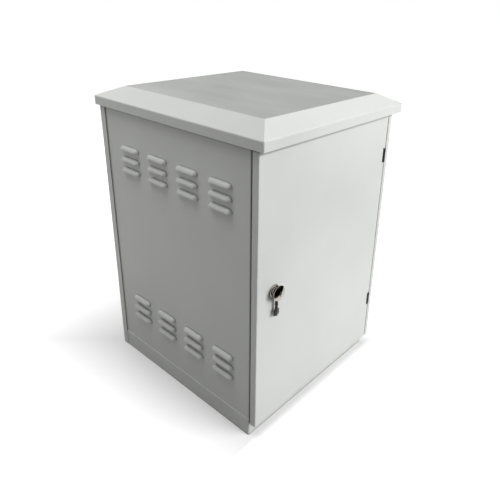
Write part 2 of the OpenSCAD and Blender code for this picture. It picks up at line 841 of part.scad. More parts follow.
// Hat-section rib down the inside of the door
module door_stiffener() {
    x = stiffener_w / 2;
    path = [
        [-x, door_in_y], [stiffener_flange - x, door_in_y], [stiffener_flange - x, door_in_y + stiffener_d],
        [x - stiffener_flange, door_in_y + stiffener_d], [x - stiffener_flange, door_in_y], [x, door_in_y]
    ];
    color(paint) translate([frame_mid[0], 0, 0])
        raised(folded(path, sheet, fold_r), frame_low + stiffener_end, frame_high - stiffener_end);
}

// Flat seal on the lip round the back of the door, which lands on the sides, the frame and the plinth
module door_seal() {
    color(rubber) ring_slab(seal_mid, seal_size, seal_size - 2 * [seal_w, seal_w],
                            door_y + door_depth, front_y - slip);
}

// Knuckle from z0 to z1 on the hinge axis
module knuckle(z0, z1) {
    translate([hinge_x, hinge_y, z0]) cylinder(d = knuckle_d, h = z1 - z0);
}

// Bore for the hinge pin
module pin_bore(z0, z1, clear) {
    translate([hinge_x, hinge_y, z0 - overrun])
        cylinder(d = hinge_pin_d + 2 * clear, h = z1 - z0 + 2 * overrun);
}

// Lower half of a lift-off hinge, whose leaf passes into the hinge post
module hinge_post_half(z) {
    low = z - half_gap / 2 - half_l;
    high = z - half_gap / 2;
    color(black) difference() {
        union() {
            knuckle(low, high);
            block([hinge_x, door_in_y, low], [half_w - sheet - fold_r - slip, door_in_y + leaf_t, high]);
        }
        pin_bore(low, high, tight_clear);
    }
}

// Heights of the two studs of a hinge
function hinge_stud_z(z) =
    let (mid = z + half_gap / 2 + half_l / 2)
    [mid - hinge_stud_pitch / 2, mid + hinge_stud_pitch / 2];

// Upper half of a lift-off hinge, whose leaf lies on the inside of the door
module hinge_door_half(z) {
    low = z + half_gap / 2;
    high = z + half_gap / 2 + half_l;
    color(black) difference() {
        union() {
            knuckle(low, high);
            block([hinge_x - leaf_w, door_in_y, low], [hinge_x, door_in_y + leaf_t, high]);
        }
        pin_bore(low, high, run_clear);
        for (sz = hinge_stud_z(z))
            bar_y(hinge_x - hinge_stud_in, sz, hinge_stud_d + hole_clear,
                  door_in_y - overrun, door_in_y + leaf_t + overrun);
    }
}

module hinge_pin(z) {
    color(zinc) translate([hinge_x, hinge_y, z - hinge_l / 2 + sheet])
        cylinder(d = hinge_pin_d, h = hinge_l - 2 * sheet);
}

module upper_hinge_post_half() {
    hinge_post_half(upper_hinge_z);
}

module upper_hinge_door_half() {
    hinge_door_half(upper_hinge_z);
}

module upper_hinge_pin() {
    hinge_pin(upper_hinge_z);
}

module lower_hinge_post_half() {
    hinge_post_half(lower_hinge_z);
}

module lower_hinge_door_half() {
    hinge_door_half(lower_hinge_z);
}

module lower_hinge_pin() {
    hinge_pin(lower_hinge_z);
}

// Studs welded to the inside of the door
module hinge_studs() {
    color(zinc) for (z = [lower_hinge_z, upper_hinge_z], sz = hinge_stud_z(z))
        bar_y(hinge_x - hinge_stud_in, sz, hinge_stud_d, door_in_y, door_in_y + hinge_stud_l);
}

module hinge_nuts() {
    color(zinc) for (z = [lower_hinge_z, upper_hinge_z], sz = hinge_stud_z(z))
        translate([hinge_x - hinge_stud_in, door_in_y + leaf_t, sz]) rotate([-90, 0, 0])
            hex_nut(hinge_stud_d, hinge_nut_af, hinge_nut_t);
}

// Body turned about the lock axis from points given as radius and place along Y
module lock_turned(points) {
    translate([lock_x, 0, lock_z]) rotate([-90, 0, 0]) rotate_extrude() polygon(points);
}

// Rosette, neck and threaded barrel in one piece, with a bore for the spindle
module lock_housing() {
    bore_r = spindle_d / 2 + run_clear;
    edge = rosette_t / 2;
    color(chrome) lock_turned([
        [bore_r, knob_y + slip], [neck_d / 2, knob_y + slip], [neck_d / 2, neck_y],
        [rosette_d / 2 - edge, neck_y], [rosette_d / 2, neck_y + edge], [rosette_d / 2, door_y],
        [barrel_d / 2, door_y], [barrel_d / 2, barrel_end_y], [bore_r, barrel_end_y]
    ]);
}

module lock_nut() {
    color(zinc) difference() {
        hex_y(lock_x, lock_z, lock_nut_af, door_in_y, door_in_y + lock_nut_t);
        bar_y(lock_x, lock_z, barrel_d + 2 * tight_clear,
              door_in_y - overrun, door_in_y + lock_nut_t + overrun);
    }
}

// Domed knob with a keyhole, and its spindle with a squared end
module turn_knob() {
    face_y = knob_y - knob_t;
    rim_y = face_y + dome_h;
    edge = (knob_y - rim_y) / 2;
    rim_r = knob_d / 2;
    dome_r = (rim_r * rim_r + dome_h * dome_h) / (2 * dome_h);
    color(chrome) difference() {
        union() {
            translate([lock_x, face_y, lock_z]) rotate([-90, 0, 0]) rotate_extrude() intersection() {
                translate([0, dome_r]) circle(dome_r);
                square([rim_r, dome_h]);
            }
            lock_turned([
                [0, rim_y], [rim_r, rim_y], [rim_r, knob_y - edge],
                [rim_r - edge, knob_y], [spindle_d / 2, knob_y],
                [spindle_d / 2, cam_y - slip], [0, cam_y - slip]
            ]);
            slab([lock_x, lock_z], [square_w, square_w], cam_y - slip - overrun, spindle_end_y);
        }
        bar_y(lock_x, lock_z, keyhole_d, face_y - overrun, face_y + keyhole_depth);
        slab([lock_x, lock_z], [keyhole_slot_w, keyhole_slot_l], face_y - overrun, face_y + keyhole_depth);
        bar_y(lock_x, lock_z, cam_screw_d + 2 * tight_clear,
              spindle_end_y - cam_screw_l - slip, spindle_end_y + overrun);
    }
}

// Tongue that points up when the door is free
module lock_cam() {
    color(zinc) difference() {
        union() {
            bar_y(lock_x, lock_z, cam_w, cam_y, cam_y + cam_t);
            slab([lock_x, lock_z + cam_l / 2], [cam_w, cam_l], cam_y, cam_y + cam_t);
        }
        slab([lock_x, lock_z], [square_w + slip, square_w + slip],
             cam_y - overrun, cam_y + cam_t + overrun);
    }
}

// Screw with a washer that holds the cam on the square
module cam_screw() {
    seat = cam_y + cam_t;
    color(zinc) {
        bar_y(lock_x, lock_z, cam_screw_d, spindle_end_y - cam_screw_l, seat + cam_washer_t);
        bar_y(lock_x, lock_z, cam_washer_d, seat, seat + cam_washer_t);
        bar_y(lock_x, lock_z, cam_head_d, seat + cam_washer_t - slip, seat + cam_washer_t + cam_head_t);
    }
}

// Wire ring that rests on the neck
module key_ring() {
    color(zinc) translate([lock_x, key_y, ring_z]) rotate([90, 0, 0])
        rotate_extrude() translate([ring_r, 0]) circle(d = ring_wire_d);
}

// Double-bit key that hangs by its eye from the ring
module hung_key() {
    tip = ring_z - key_l;
    color(chrome) translate([lock_x, key_y, 0]) {
        translate([0, 0, eye_z]) rotate([0, 90, 0])
            rotate_extrude() translate([eye_r, 0]) circle(d = eye_wire_d);
        translate([0, 0, tip]) cylinder(d1 = key_d / 2, d2 = key_d, h = key_tip_l);
        translate([0, 0, tip + key_tip_l]) cylinder(d = key_d, h = eye_z - eye_r - tip - key_tip_l);
        translate([-key_bit_w / 2, -key_bit_t / 2, tip + key_tip_l])
            cube([key_bit_w, key_bit_t, key_bit_h]);
    }
}

base_plinth();
gland_plate();
gland_plate_screws();
cable_grommet_left();
cable_grommet_middle();
cable_grommet_right();
left_side_panel();
left_side_frame();
right_side_panel();
right_side_frame();
rear_panel();
rear_panel_screws();
door_frame();
lock_keeper();
hinge_post();
roof_cap();
roof_bearers();
roof_bolts();
roof_nuts();
gear_rails();
gear_plate();
gear_plate_bolts();
gear_plate_nuts();
earth_stud();
earth_nuts();
door_panel();
door_stiffener();
door_seal();
upper_hinge_post_half();
upper_hinge_door_half();
upper_hinge_pin();
lower_hinge_post_half();
lower_hinge_door_half();
lower_hinge_pin();
hinge_studs();
hinge_nuts();
lock_housing();
lock_nut();
turn_knob();
lock_cam();
cam_screw();
key_ring();
hung_key();
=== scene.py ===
# %% [markdown]
# # A roadside utility cabinet
# The cabinet is a folded sheet-steel box with louvred sides, a hipped roof and one locked door.
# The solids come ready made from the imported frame, in metres, so this lesson is about looks:
# the camera, the light, the finishes, and the small turned, cut and moulded details
# that make metal believable.

# %% Load the frame
import bmesh
import bpy
import json
import math
from mathutils import Matrix, Vector


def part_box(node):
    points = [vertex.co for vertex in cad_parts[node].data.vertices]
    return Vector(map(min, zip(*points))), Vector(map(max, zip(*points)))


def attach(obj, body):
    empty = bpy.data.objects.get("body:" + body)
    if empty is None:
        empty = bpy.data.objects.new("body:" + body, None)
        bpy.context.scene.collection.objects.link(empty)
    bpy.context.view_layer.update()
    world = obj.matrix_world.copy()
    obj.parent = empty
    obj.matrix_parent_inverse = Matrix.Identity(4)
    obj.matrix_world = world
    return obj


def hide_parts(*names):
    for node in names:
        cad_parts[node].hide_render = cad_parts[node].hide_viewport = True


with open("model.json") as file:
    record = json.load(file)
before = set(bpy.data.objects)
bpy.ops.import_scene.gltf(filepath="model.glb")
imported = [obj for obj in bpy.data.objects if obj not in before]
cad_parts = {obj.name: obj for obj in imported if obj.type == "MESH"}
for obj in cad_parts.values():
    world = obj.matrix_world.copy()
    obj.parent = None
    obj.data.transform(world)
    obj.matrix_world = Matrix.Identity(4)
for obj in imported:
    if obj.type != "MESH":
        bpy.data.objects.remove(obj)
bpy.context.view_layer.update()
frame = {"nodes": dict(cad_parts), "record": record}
nodes = frame["nodes"]
MM = 0.001

# %% [markdown]
# ## Camera
# The photograph was taken from close by, from the lock's side and a little above the roof.
# A camera can be placed by eye, but the edges of the plinth, door and roof fix it far better:
# place, heading, tilt and lens below come from fitting those edges.
# The small lens shift is the photograph's own crop.

# %% Camera's directions
CAMERA_AT = Vector((-1098.5, -1085.3, 1207.7)) * MM
HEADING, TILT, ROLL = math.radians(49.56), math.radians(22.48), 0.032
forward = Vector((
    math.sin(HEADING) * math.cos(TILT),
    math.cos(HEADING) * math.cos(TILT),
    -math.sin(TILT),
))
level = Vector((math.cos(HEADING), -math.sin(HEADING), 0))
upright = level.cross(forward)
right = level * math.cos(ROLL) + upright * math.sin(ROLL)
up = upright * math.cos(ROLL) - level * math.sin(ROLL)
print("camera looks along", [round(v, 3) for v in forward])

# %% Camera
FOCAL_PX, IMAGE_PX, SENSOR_MM = 505.4, 500, 36
CENTRE_PX = (278.74, 200.0)
lens = bpy.data.cameras.new("photo_camera")
lens.sensor_width = SENSOR_MM
lens.lens = SENSOR_MM * FOCAL_PX / IMAGE_PX
lens.shift_x = 0.5 - CENTRE_PX[0] / IMAGE_PX
lens.shift_y = CENTRE_PX[1] / IMAGE_PX - 0.5
camera = bpy.data.objects.new("photo_camera", lens)
bpy.context.scene.collection.objects.link(camera)
camera.matrix_world = Matrix((
    (right.x, up.x, -forward.x, CAMERA_AT.x),
    (right.y, up.y, -forward.y, CAMERA_AT.y),
    (right.z, up.z, -forward.z, CAMERA_AT.z),
    (0, 0, 0, 1),
))
bpy.context.scene.camera = camera
print("camera lens", round(lens.lens, 2), "mm, shift", round(lens.shift_x, 3), round(lens.shift_y, 3))

# %% [markdown]
# ## Colours and shader nodes
# Colours are written as they look on a screen, in hex, and one function turns them into
# the linear values that shaders use.
# Every material is a small tree of nodes, so one more function adds a node,
# sets it up and links it in a single line. A pattern's scale is worked out from a real size.

# %% Colours
def linear(hex_code):
    # the standard curve of screen colours, undone
    channels = [int(hex_code[i:i + 2], 16) / 255 for i in (1, 3, 5)]
    return [c / 12.92 if c <= 0.04045 else ((c + 0.055) / 1.055) ** 2.4 for c in channels] + [1.0]


def two_tones(ramp, span, hexes):
    for stop, position, hex_code in zip(list(ramp.color_ramp.elements), span, hexes):
        stop.position = position
        stop.color = linear(hex_code)


bpy.context.scene.view_settings.view_transform = "Standard"
print("middle grey in linear values", [round(v, 3) for v in linear("#808080")])


# %% Shader nodes
def add(tree, kind, links=None, values=None, **settings):
    made = tree.nodes.new("ShaderNode" + kind)
    for name, value in settings.items():
        setattr(made, name, value)
    for socket, value in (values or {}).items():
        made.inputs[socket].default_value = value
    for socket, source in (links or {}).items():
        tree.links.new(source, made.inputs[socket])
    return made


def new_material(name):
    material = bpy.data.materials.new(name)
    material.use_nodes = True
    material.node_tree.nodes.clear()
    return material, material.node_tree


def per_metre(millimetres):
    return 1 / (millimetres * MM)


print("a 5 mm pattern has scale", round(per_metre(5), 1))

# %% [markdown]
# ## Floor
# The photograph has a white ground with one soft contact shadow.
# The floor is a plain pale sheet that takes the shadow.
# More light would turn it white, but the cabinet too. So a glow lifts it to white instead,
# one that the eye, polished metal and glass see and that lights nothing.
# The glow grows with distance from the plinth: beside it the glow is weak, so the shadow shows,
# and further out the sheet melts into the background. In front, where the main light falls,
# the shadow is a thin line. Light that the floor throws back up is held low,
# because in the photograph the louvred side gets darker towards the ground.

# %% Floor sheet
FLOOR_SIZE = 60
bpy.ops.object.select_all(action="DESELECT")
bpy.ops.mesh.primitive_plane_add(size=FLOOR_SIZE, location=(0, 0, 0))
floor = bpy.context.object
floor.name = "studio_floor"
print("floor", [round(v, 2) for v in floor.dimensions])


# %% Rays that see the background
def seen_rays(tree):
    # 1 for what the eye, metal or glass sees, 0 for light on its way to a matt face
    rays = add(tree, "LightPath")
    seen = rays.outputs["Is Camera Ray"]
    for kind in ("Is Glossy Ray", "Is Transmission Ray"):
        seen = add(tree, "Math", {0: seen, 1: rays.outputs[kind]}, operation="MAXIMUM").outputs[0]
    return seen


print("rays that see the background: eye, metal and glass")

# %% Floor glow
# fades: metres from the cabinet's middle where the glow starts to grow, and where it is full
LEFT_FADE, RIGHT_FADE = (0.29, 0.72), (0.29, 0.4)
FRONT_FADE, BACK_FADE = (0.33, 0.37), (0.32, 0.8)
floor_paint, tree = new_material("matte white studio floor")
place = add(tree, "TexCoord")
spot = add(tree, "SeparateXYZ", {"Vector": place.outputs["Object"]})
left = add(tree, "Math", {0: spot.outputs["X"]}, {1: -1.0}, operation="MULTIPLY")
ahead = add(tree, "Math", {0: spot.outputs["Y"]}, {1: -1.0}, operation="MULTIPLY")
ways = (
    (left.outputs[0], LEFT_FADE),
    (spot.outputs["X"], RIGHT_FADE),
    (ahead.outputs[0], FRONT_FADE),
    (spot.outputs["Y"], BACK_FADE),
)
away = None
for way, (start, end) in ways:
    fade = add(tree, "MapRange", {"Value": way}, {"From Min": start, "From Max": end}).outputs["Result"]
    away = add(tree, "Math", {0: away, 1: fade}, operation="MAXIMUM").outputs[0] if away else fade
print("glow grows in", len(ways), "directions")

# %% Floor paint
# painted shadow: the glow is weak near the plinth, so the floor there stays darker than its lamps alone
# make it, on top of the real shadow, widest on the left and behind
NEAR_GLOW, FAR_GLOW = 0.12, 0.85
FLOOR_SEEN, FLOOR_BOUNCE = "#EDEDED", "#6E6E6C"
lift = add(tree, "MapRange", {"Value": away}, {"To Min": NEAR_GLOW, "To Max": FAR_GLOW})
strength = add(tree, "Math", {0: seen_rays(tree), 1: lift.outputs["Result"]}, operation="MULTIPLY")
glow = add(tree, "Emission", {"Strength": strength.outputs[0]}, {"Color": (1, 1, 1, 1)})
bounce = add(tree, "LightPath").outputs["Is Diffuse Ray"]
tone = add(tree, "MixRGB", {"Fac": bounce}, {"Color1": linear(FLOOR_SEEN), "Color2": linear(FLOOR_BOUNCE)})
sheet = add(tree, "BsdfDiffuse", {"Color": tone.outputs["Color"]})
both = add(tree, "AddShader", {0: sheet.outputs[0], 1: glow.outputs[0]})
add(tree, "OutputMaterial", {"Surface": both.outputs[0]})
floor.data.materials.append(floor_paint)
print(floor_paint.name, len(tree.nodes), "nodes")

# %% [markdown]
# ## World
# A studio's pale walls fill every shade a little.
# Walls could be modelled, but a world of one colour does the same.
# It is white to the eye and in reflections, like the floor far out,
# and much weaker as light on the cabinet.

# %% World
AMBIENT = 0.22
world = bpy.data.worlds.new("pale_studio")
bpy.context.scene.world = world
world.use_nodes = True
tree = world.node_tree
tree.nodes.clear()
tone = add(tree, "MixRGB", {"Fac": seen_rays(tree)},
           {"Color1": (AMBIENT, AMBIENT, AMBIENT, 1), "Color2": (1, 1, 1, 1)})
sky = add(tree, "Background", {"Color": tone.outputs[0]}, {"Strength": 1.0})
add(tree, "OutputWorld", {"Surface": sky.outputs[0]})
print("world ambient", AMBIENT)

# %% [markdown]
# ## Lamps
# In the photograph the door is the brightest upright face and the louvred side lies in soft shade,
# so the main light is one wide softbox in front and a little to the right.
# A small lamp would be easier to aim, but a wide one spreads its shine on the paint,
# so the door doesn't burn out.
# Two weaker ones, overhead and on the left, pick out the louvres without long shadows under them.
# A faint one behind shows the back and stays out of the photograph's view.

# %% Lamps
def softbox(name, place, aim, size, watts):
    # place and aim in metres, size is the side of the square in metres
    data = bpy.data.lights.new(name, "AREA")
    data.shape, data.size, data.energy = "SQUARE", size, watts
    lamp = bpy.data.objects.new(name, data)
    bpy.context.scene.collection.objects.link(lamp)
    lamp.location = place
    lamp.rotation_euler = (Vector(aim) - Vector(place)).to_track_quat("-Z", "Y").to_euler()
    print(name, watts, "W at", place)


softbox("front_softbox", (0.8, -2.9, 1.55), (0, -0.3, 0.6), 2.1, 92)
softbox("overhead_softbox", (-0.75, 0.35, 2.6), (-0.2, 0, 0.5), 1.2, 19)
softbox("left_softbox", (-1.8, 0.9, 1.3), (-0.3, 0.1, 0.5), 1.2, 3)
softbox("rear_softbox", (0.9, 2.9, 1.3), (0, 0.3, 0.5), 1.6, 12)

# %% [markdown]
# ## Dark card
# Polished metal shows what stands around it, and in a white studio chrome would be white.
# Photographers hold up a dark card, so that the metal gets its black tones.
# This one leans away in front of the door and is met by reflections alone,
# so it takes no light from the paint.
# A narrow beige hem at its foot gives the knob a warm lower edge.

# %% Dark card
CARD_LOW, CARD_HIGH = Vector((0.1, -0.8, 0.01)), Vector((0.1, -2.2, 1.25))
CARD_W = 3.4
card_rise = CARD_HIGH - CARD_LOW
bpy.ops.object.select_all(action="DESELECT")
bpy.ops.mesh.primitive_plane_add(size=1, location=(CARD_LOW + CARD_HIGH) / 2,
                                 rotation=(math.atan2(card_rise.z, card_rise.y), 0, 0))
card = bpy.context.object
card.name = "dark_card"
card.scale = (CARD_W, card_rise.length, 1)
card.visible_camera = card.visible_diffuse = card.visible_shadow = card.visible_transmission = False
print("dark card from", CARD_LOW[:], "to", CARD_HIGH[:])

# %% Card's cloth
CARD_FOOT, HEM_SHARE = -0.5, 0.05
CARD_TONES = ("#857A69", "#141210")
card_cloth, tree = new_material("matte studio card, beige to black")
place = add(tree, "TexCoord")
spot = add(tree, "SeparateXYZ", {"Vector": place.outputs["Object"]})
along = add(tree, "MapRange", {"Value": spot.outputs["Y"]},
            {"From Min": CARD_FOOT, "From Max": CARD_FOOT + HEM_SHARE})
tone = add(tree, "ValToRGB", {"Fac": along.outputs["Result"]})
two_tones(tone, (0, 1), CARD_TONES)
cloth = add(tree, "BsdfDiffuse", {"Color": tone.outputs["Color"]})
add(tree, "OutputMaterial", {"Surface": cloth.outputs[0]})
card.data.materials.append(card_cloth)
print(card_cloth.name, len(tree.nodes), "nodes")

# %% [markdown]
# ## Light grey powder coat
# The whole body is steel with a baked polyester powder coat.
# Powder melts into a skin that is never quite flat, so the eye sees a semi-gloss sheen
# broken by a fine orange peel, with very slight drifts in tone over a large panel.
# One flat colour would look like plastic, so noise gives the peel and the drift.
# The flat top is painted a darker grey in faint streaks, a painted shade that makes it duller than the
# door, and it is made rougher there. Painted shade darkens every nook, the door's gap and the foot of each
# louvre.
# A painted shadow darkens the strip right under the rim,
# lower in front where the roof reaches out further.
# The painted shade is left out along the open seams on the plinth and at the rear corners,
# so a lighter line shows there.

# %% Powder skin
FINISHES = {}
PEEL_MM = 5  # real peel is 1 to 2 mm, drawn coarser so that it shows
DRIFT_MM, DRIFT_SPAN = 260, (0.32, 0.68)
COAT_GREYS = ("#D2D4D1", "#D8DAD7")
coat, tree = new_material("light grey polyester powder coat")
place = add(tree, "TexCoord")
spot = add(tree, "SeparateXYZ", {"Vector": place.outputs["Object"]})
facing = add(tree, "SeparateXYZ", {"Vector": place.outputs["Normal"]})
peel = add(tree, "TexNoise", {"Vector": place.outputs["Object"]},
           {"Scale": per_metre(PEEL_MM), "Detail": 2.0, "Roughness": 0.45})
drift = add(tree, "TexNoise", {"Vector": place.outputs["Object"]},
            {"Scale": per_metre(DRIFT_MM), "Detail": 3.0})
tint = add(tree, "ValToRGB", {"Fac": drift.outputs["Fac"]})
two_tones(tint, DRIFT_SPAN, COAT_GREYS)
print("peel scale", per_metre(PEEL_MM), "drift scale", round(per_metre(DRIFT_MM), 2))

# %% Painted shade on the flat top
STREAK_MM, STREAK_SPAN = (130, 420, 130), (0.3, 0.7)
FLAT_FACING, BELOW_TOP_MM = (0.93, 0.995), (18, 3)
TOP_SHADE_LEAST, TOP_SHADE_GREY = 0.75, "#A0A2A0"
roof_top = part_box("roof_cap")[1][2]
stretch = add(tree, "Mapping", {"Vector": place.outputs["Object"]},
              {"Scale": [per_metre(size) for size in STREAK_MM]})
streaks = add(tree, "TexNoise", {"Vector": stretch.outputs["Vector"]},
              {"Scale": 1.0, "Detail": 3.0, "Roughness": 0.55})
flat = add(tree, "MapRange", {"Value": facing.outputs["Z"]},
           {"From Min": FLAT_FACING[0], "From Max": FLAT_FACING[1]})
high_up = add(tree, "MapRange", {"Value": spot.outputs["Z"]},
              {"From Min": roof_top - BELOW_TOP_MM[0] * MM, "From Max": roof_top - BELOW_TOP_MM[1] * MM})
plateau = add(tree, "Math", {0: flat.outputs["Result"], 1: high_up.outputs["Result"]}, operation="MULTIPLY")
patchy = add(tree, "MapRange", {"Value": streaks.outputs["Fac"]},
             {"From Min": STREAK_SPAN[0], "From Max": STREAK_SPAN[1], "To Min": TOP_SHADE_LEAST})
# painted shade: the flat top is mixed towards a darker grey in faint streaks, and the same mask makes it
# rougher
shaded_top_mask = add(tree, "Math", {0: patchy.outputs["Result"], 1: plateau.outputs[0]}, operation="MULTIPLY")
# the coat's colour with the flat top's painted shade mixed in
dusty = add(tree, "MixRGB", {"Fac": shaded_top_mask.outputs[0], "Color1": tint.outputs["Color"]},
            {"Color2": linear(TOP_SHADE_GREY)})
print("top_shade above", round(roof_top - BELOW_TOP_MM[0] * MM, 3), "m")

# %% Painted shade in nooks and painted shadow under the rim
NOOK_MM, NOOK_SPAN = 9, (0.4, 0.8)
RIM_SHADOW_MM, RIM_SHADOW_COAT_SHARE = (4, 11), 0.4  # mm under the rim where soot is full, and where it ends
FRONT_SHADOW_EXTRA_MM, RIM_SPARE_MM = 6.2, 0.2
rim_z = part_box("roof_cap")[0][2]
# painted shade: ambient occlusion darkens the coat in nooks, creases and the door's gap
nook = add(tree, "AmbientOcclusion", values={"Distance": NOOK_MM * MM}, samples=8)
open_face = add(tree, "MapRange", {"Value": nook.outputs["AO"]},
                {"From Min": NOOK_SPAN[0], "From Max": NOOK_SPAN[1]})
# painted shadow: a dark strip under the rim, taller on front faces where the roof reaches out further
front = add(tree, "Math", {0: facing.outputs["Y"]}, operation="ABSOLUTE")
rim_shadow_height = add(tree, "Math", {0: front.outputs[0], 2: spot.outputs["Z"]},
                {1: FRONT_SHADOW_EXTRA_MM * MM}, operation="MULTIPLY_ADD")
under = add(tree, "MapRange", {"Value": rim_shadow_height.outputs[0]},
            {"From Min": rim_z - RIM_SHADOW_MM[1] * MM, "From Max": rim_z - RIM_SHADOW_MM[0] * MM,
             "To Min": 1.0, "To Max": RIM_SHADOW_COAT_SHARE})
above = add(tree, "Math", {0: spot.outputs["Z"]}, {1: rim_z - RIM_SPARE_MM * MM}, operation="GREATER_THAN")
out_of_rim_shadow = add(tree, "Math", {0: under.outputs["Result"], 1: above.outputs[0]}, operation="MAXIMUM")
unshaded = add(tree, "Math", {0: open_face.outputs["Result"], 1: out_of_rim_shadow.outputs[0]}, operation="MULTIPLY")
print("painted_shadow line under", round(rim_z, 3), "m")

# %% Seams left out of the painted shade
SEAM_UNSHADED_MM, PAINTED_SHADE_BLACK = 4, "#2A2A28"
seams = (("Z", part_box("base_plinth")[1][2]), ("Y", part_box("rear_panel")[0][1]))
# the painted shade is left out in narrow bands at the plinth seam and the rear seam, so a lighter line
# shows there
for axis, seam in seams:
    seam_band_unshaded = add(tree, "Math", {0: spot.outputs[axis]}, {1: seam, 2: SEAM_UNSHADED_MM * MM}, operation="COMPARE")
    unshaded = add(tree, "Math", {0: unshaded.outputs[0], 1: seam_band_unshaded.outputs[0]}, operation="MAXIMUM")
# the coat's colour with the painted shade and the painted shadow mixed in
worn = add(tree, "MixRGB", {"Fac": unshaded.outputs[0], "Color2": dusty.outputs["Color"]},
           {"Color1": linear(PAINTED_SHADE_BLACK)})
print("rinsed seams at", [(axis, round(seam, 4)) for axis, seam in seams])

# %% Powder coat's gloss
SHEEN, TOP_ROUGHER = (0.33, 0.43), 0.25
PEEL_STRENGTH, PEEL_HIGH_MM = 0.35, 0.06
sheen = add(tree, "MapRange", {"Value": drift.outputs["Fac"]}, {"To Min": SHEEN[0], "To Max": SHEEN[1]})
rough = add(tree, "Math", {0: shaded_top_mask.outputs[0], 2: sheen.outputs["Result"]},
            {1: TOP_ROUGHER}, operation="MULTIPLY_ADD")
bump = add(tree, "Bump", {"Height": peel.outputs["Fac"]},
           {"Strength": PEEL_STRENGTH, "Distance": PEEL_HIGH_MM * MM})
shader = add(tree, "BsdfPrincipled",
             {"Base Color": worn.outputs["Color"], "Roughness": rough.outputs[0],
              "Normal": bump.outputs["Normal"]}, {"IOR": 1.5})
add(tree, "OutputMaterial", {"Surface": shader.outputs[0]})
FINISHES["light_grey_powder_coat"] = coat
print(coat.name, len(tree.nodes), "nodes")

# %% [markdown]
# ## Zinc plate
# Inner plates, rails and fasteners are zinc-plated steel.
# The bath leaves pale crystals a centimetre across, a little lighter or darker
# than their neighbours, and handling adds a dull bloom.
# Plain noise has no crystal edges, so Voronoi cells give the crystals, and noise only blurs their gloss.

# %% Zinc plate
SPANGLE_MM, BLOOM_MM = 11, 60
ZINC_GREYS, ZINC_GLOSS = ("#A3A8AB", "#C3C7C9"), (0.28, 0.52)
SPANGLE_STRENGTH, SPANGLE_HIGH_MM = 0.15, 0.03
zinc, tree = new_material("zinc-plated steel with spangle")
place = add(tree, "TexCoord")
spangle = add(tree, "TexVoronoi", {"Vector": place.outputs["Object"]}, {"Scale": per_metre(SPANGLE_MM)})
cell = add(tree, "SeparateXYZ", {"Vector": spangle.outputs["Color"]})
tint = add(tree, "ValToRGB", {"Fac": cell.outputs["X"]})
two_tones(tint, (0, 1), ZINC_GREYS)
bloom = add(tree, "TexNoise", {"Vector": place.outputs["Object"]},
            {"Scale": per_metre(BLOOM_MM), "Detail": 4.0})
rough = add(tree, "MapRange", {"Value": bloom.outputs["Fac"]},
            {"To Min": ZINC_GLOSS[0], "To Max": ZINC_GLOSS[1]})
bump = add(tree, "Bump", {"Height": cell.outputs["Y"]},
           {"Strength": SPANGLE_STRENGTH, "Distance": SPANGLE_HIGH_MM * MM})
shader = add(tree, "BsdfPrincipled",
             {"Base Color": tint.outputs["Color"], "Roughness": rough.outputs["Result"],
              "Normal": bump.outputs["Normal"]}, {"Metallic": 1.0})
add(tree, "OutputMaterial", {"Surface": shader.outputs[0]})
FINISHES["zinc_plated_steel"] = zinc
print(zinc.name, len(tree.nodes), "nodes")

# %% [markdown]
# ## Black hinge finish, chrome, key steel, rubber and brass
# Cast hinges are blacked in a paint bath: a soft satin with a grainy skin.
# The lock is bright chrome with faint rubbing marks.
# The key and its ring are a very dark grey metal
# with an uneven gloss.
# The seal and grommets are dull black rubber with a pale bloom.
# The earth stud is brass that has dulled unevenly.
# Each could have a tree of its own, but all five have a base colour with a slow drift,
# a roughness that drifts with it and a fine bump, so one loop writes them.

# %% Small finishes
# slot: name, dark and light hex, metallic, smooth and dull roughness, drift mm, grain mm, bump mm
SMALL_FINISHES = {
    "black_hinge_finish": ("black bath-painted cast steel", ("#0E0E0E", "#1C1C1B"),
                           0.0, (0.34, 0.5), 30, 1.2, 0.08),
    "chrome_plate": ("worn nickel and chrome plate", ("#8C8781", "#A39E97"),
                     1.0, (0.06, 0.14), 24, 3.0, 0.003),
    # the key and ring get a very dark grey metal with an uneven gloss
    "dark_key_metal": ("handled key steel, dark in its pores", ("#2B2A28", "#45423E"),
                 1.0, (0.2, 0.34), 8, 1.5, 0.01),
    "black_rubber": ("black rubber with a dusty bloom", ("#121213", "#232322"),
                     0.0, (0.62, 0.82), 45, 0.8, 0.05),
    "plain_brass": ("dulled brass", ("#93713A", "#B8924E"),
                    1.0, (0.24, 0.46), 12, 0.9, 0.02),
}
SMALL_SPAN, GRAIN_STRENGTH = (0.3, 0.7), 0.4
for slot, (name, tones, metallic, gloss, drift_mm, grain_mm, bump_mm) in SMALL_FINISHES.items():
    material, tree = new_material(name)
    place = add(tree, "TexCoord")
    drift = add(tree, "TexNoise", {"Vector": place.outputs["Object"]},
                {"Scale": per_metre(drift_mm), "Detail": 5.0})
    grain = add(tree, "TexNoise", {"Vector": place.outputs["Object"]},
                {"Scale": per_metre(grain_mm), "Detail": 2.0})
    tint = add(tree, "ValToRGB", {"Fac": drift.outputs["Fac"]})
    two_tones(tint, SMALL_SPAN, tones)
    rough = add(tree, "MapRange", {"Value": drift.outputs["Fac"]},
                {"From Min": SMALL_SPAN[0], "From Max": SMALL_SPAN[1],
                 "To Min": gloss[0], "To Max": gloss[1]})
    bump = add(tree, "Bump", {"Height": grain.outputs["Fac"]},
               {"Strength": GRAIN_STRENGTH, "Distance": bump_mm * MM})
    shader = add(tree, "BsdfPrincipled",
                 {"Base Color": tint.outputs["Color"], "Roughness": rough.outputs["Result"],
                  "Normal": bump.outputs["Normal"]}, {"Metallic": metallic})
    add(tree, "OutputMaterial", {"Surface": shader.outputs[0]})
    FINISHES[slot] = material
    print(material.name, len(tree.nodes), "nodes")

# %% [markdown]
# ## Finishes on the nodes
# The record says which finish each piece of the cabinet has, and which body it moves with.
# Typing that again here would invite mistakes, so both are looked up, and a loop paints every solid.

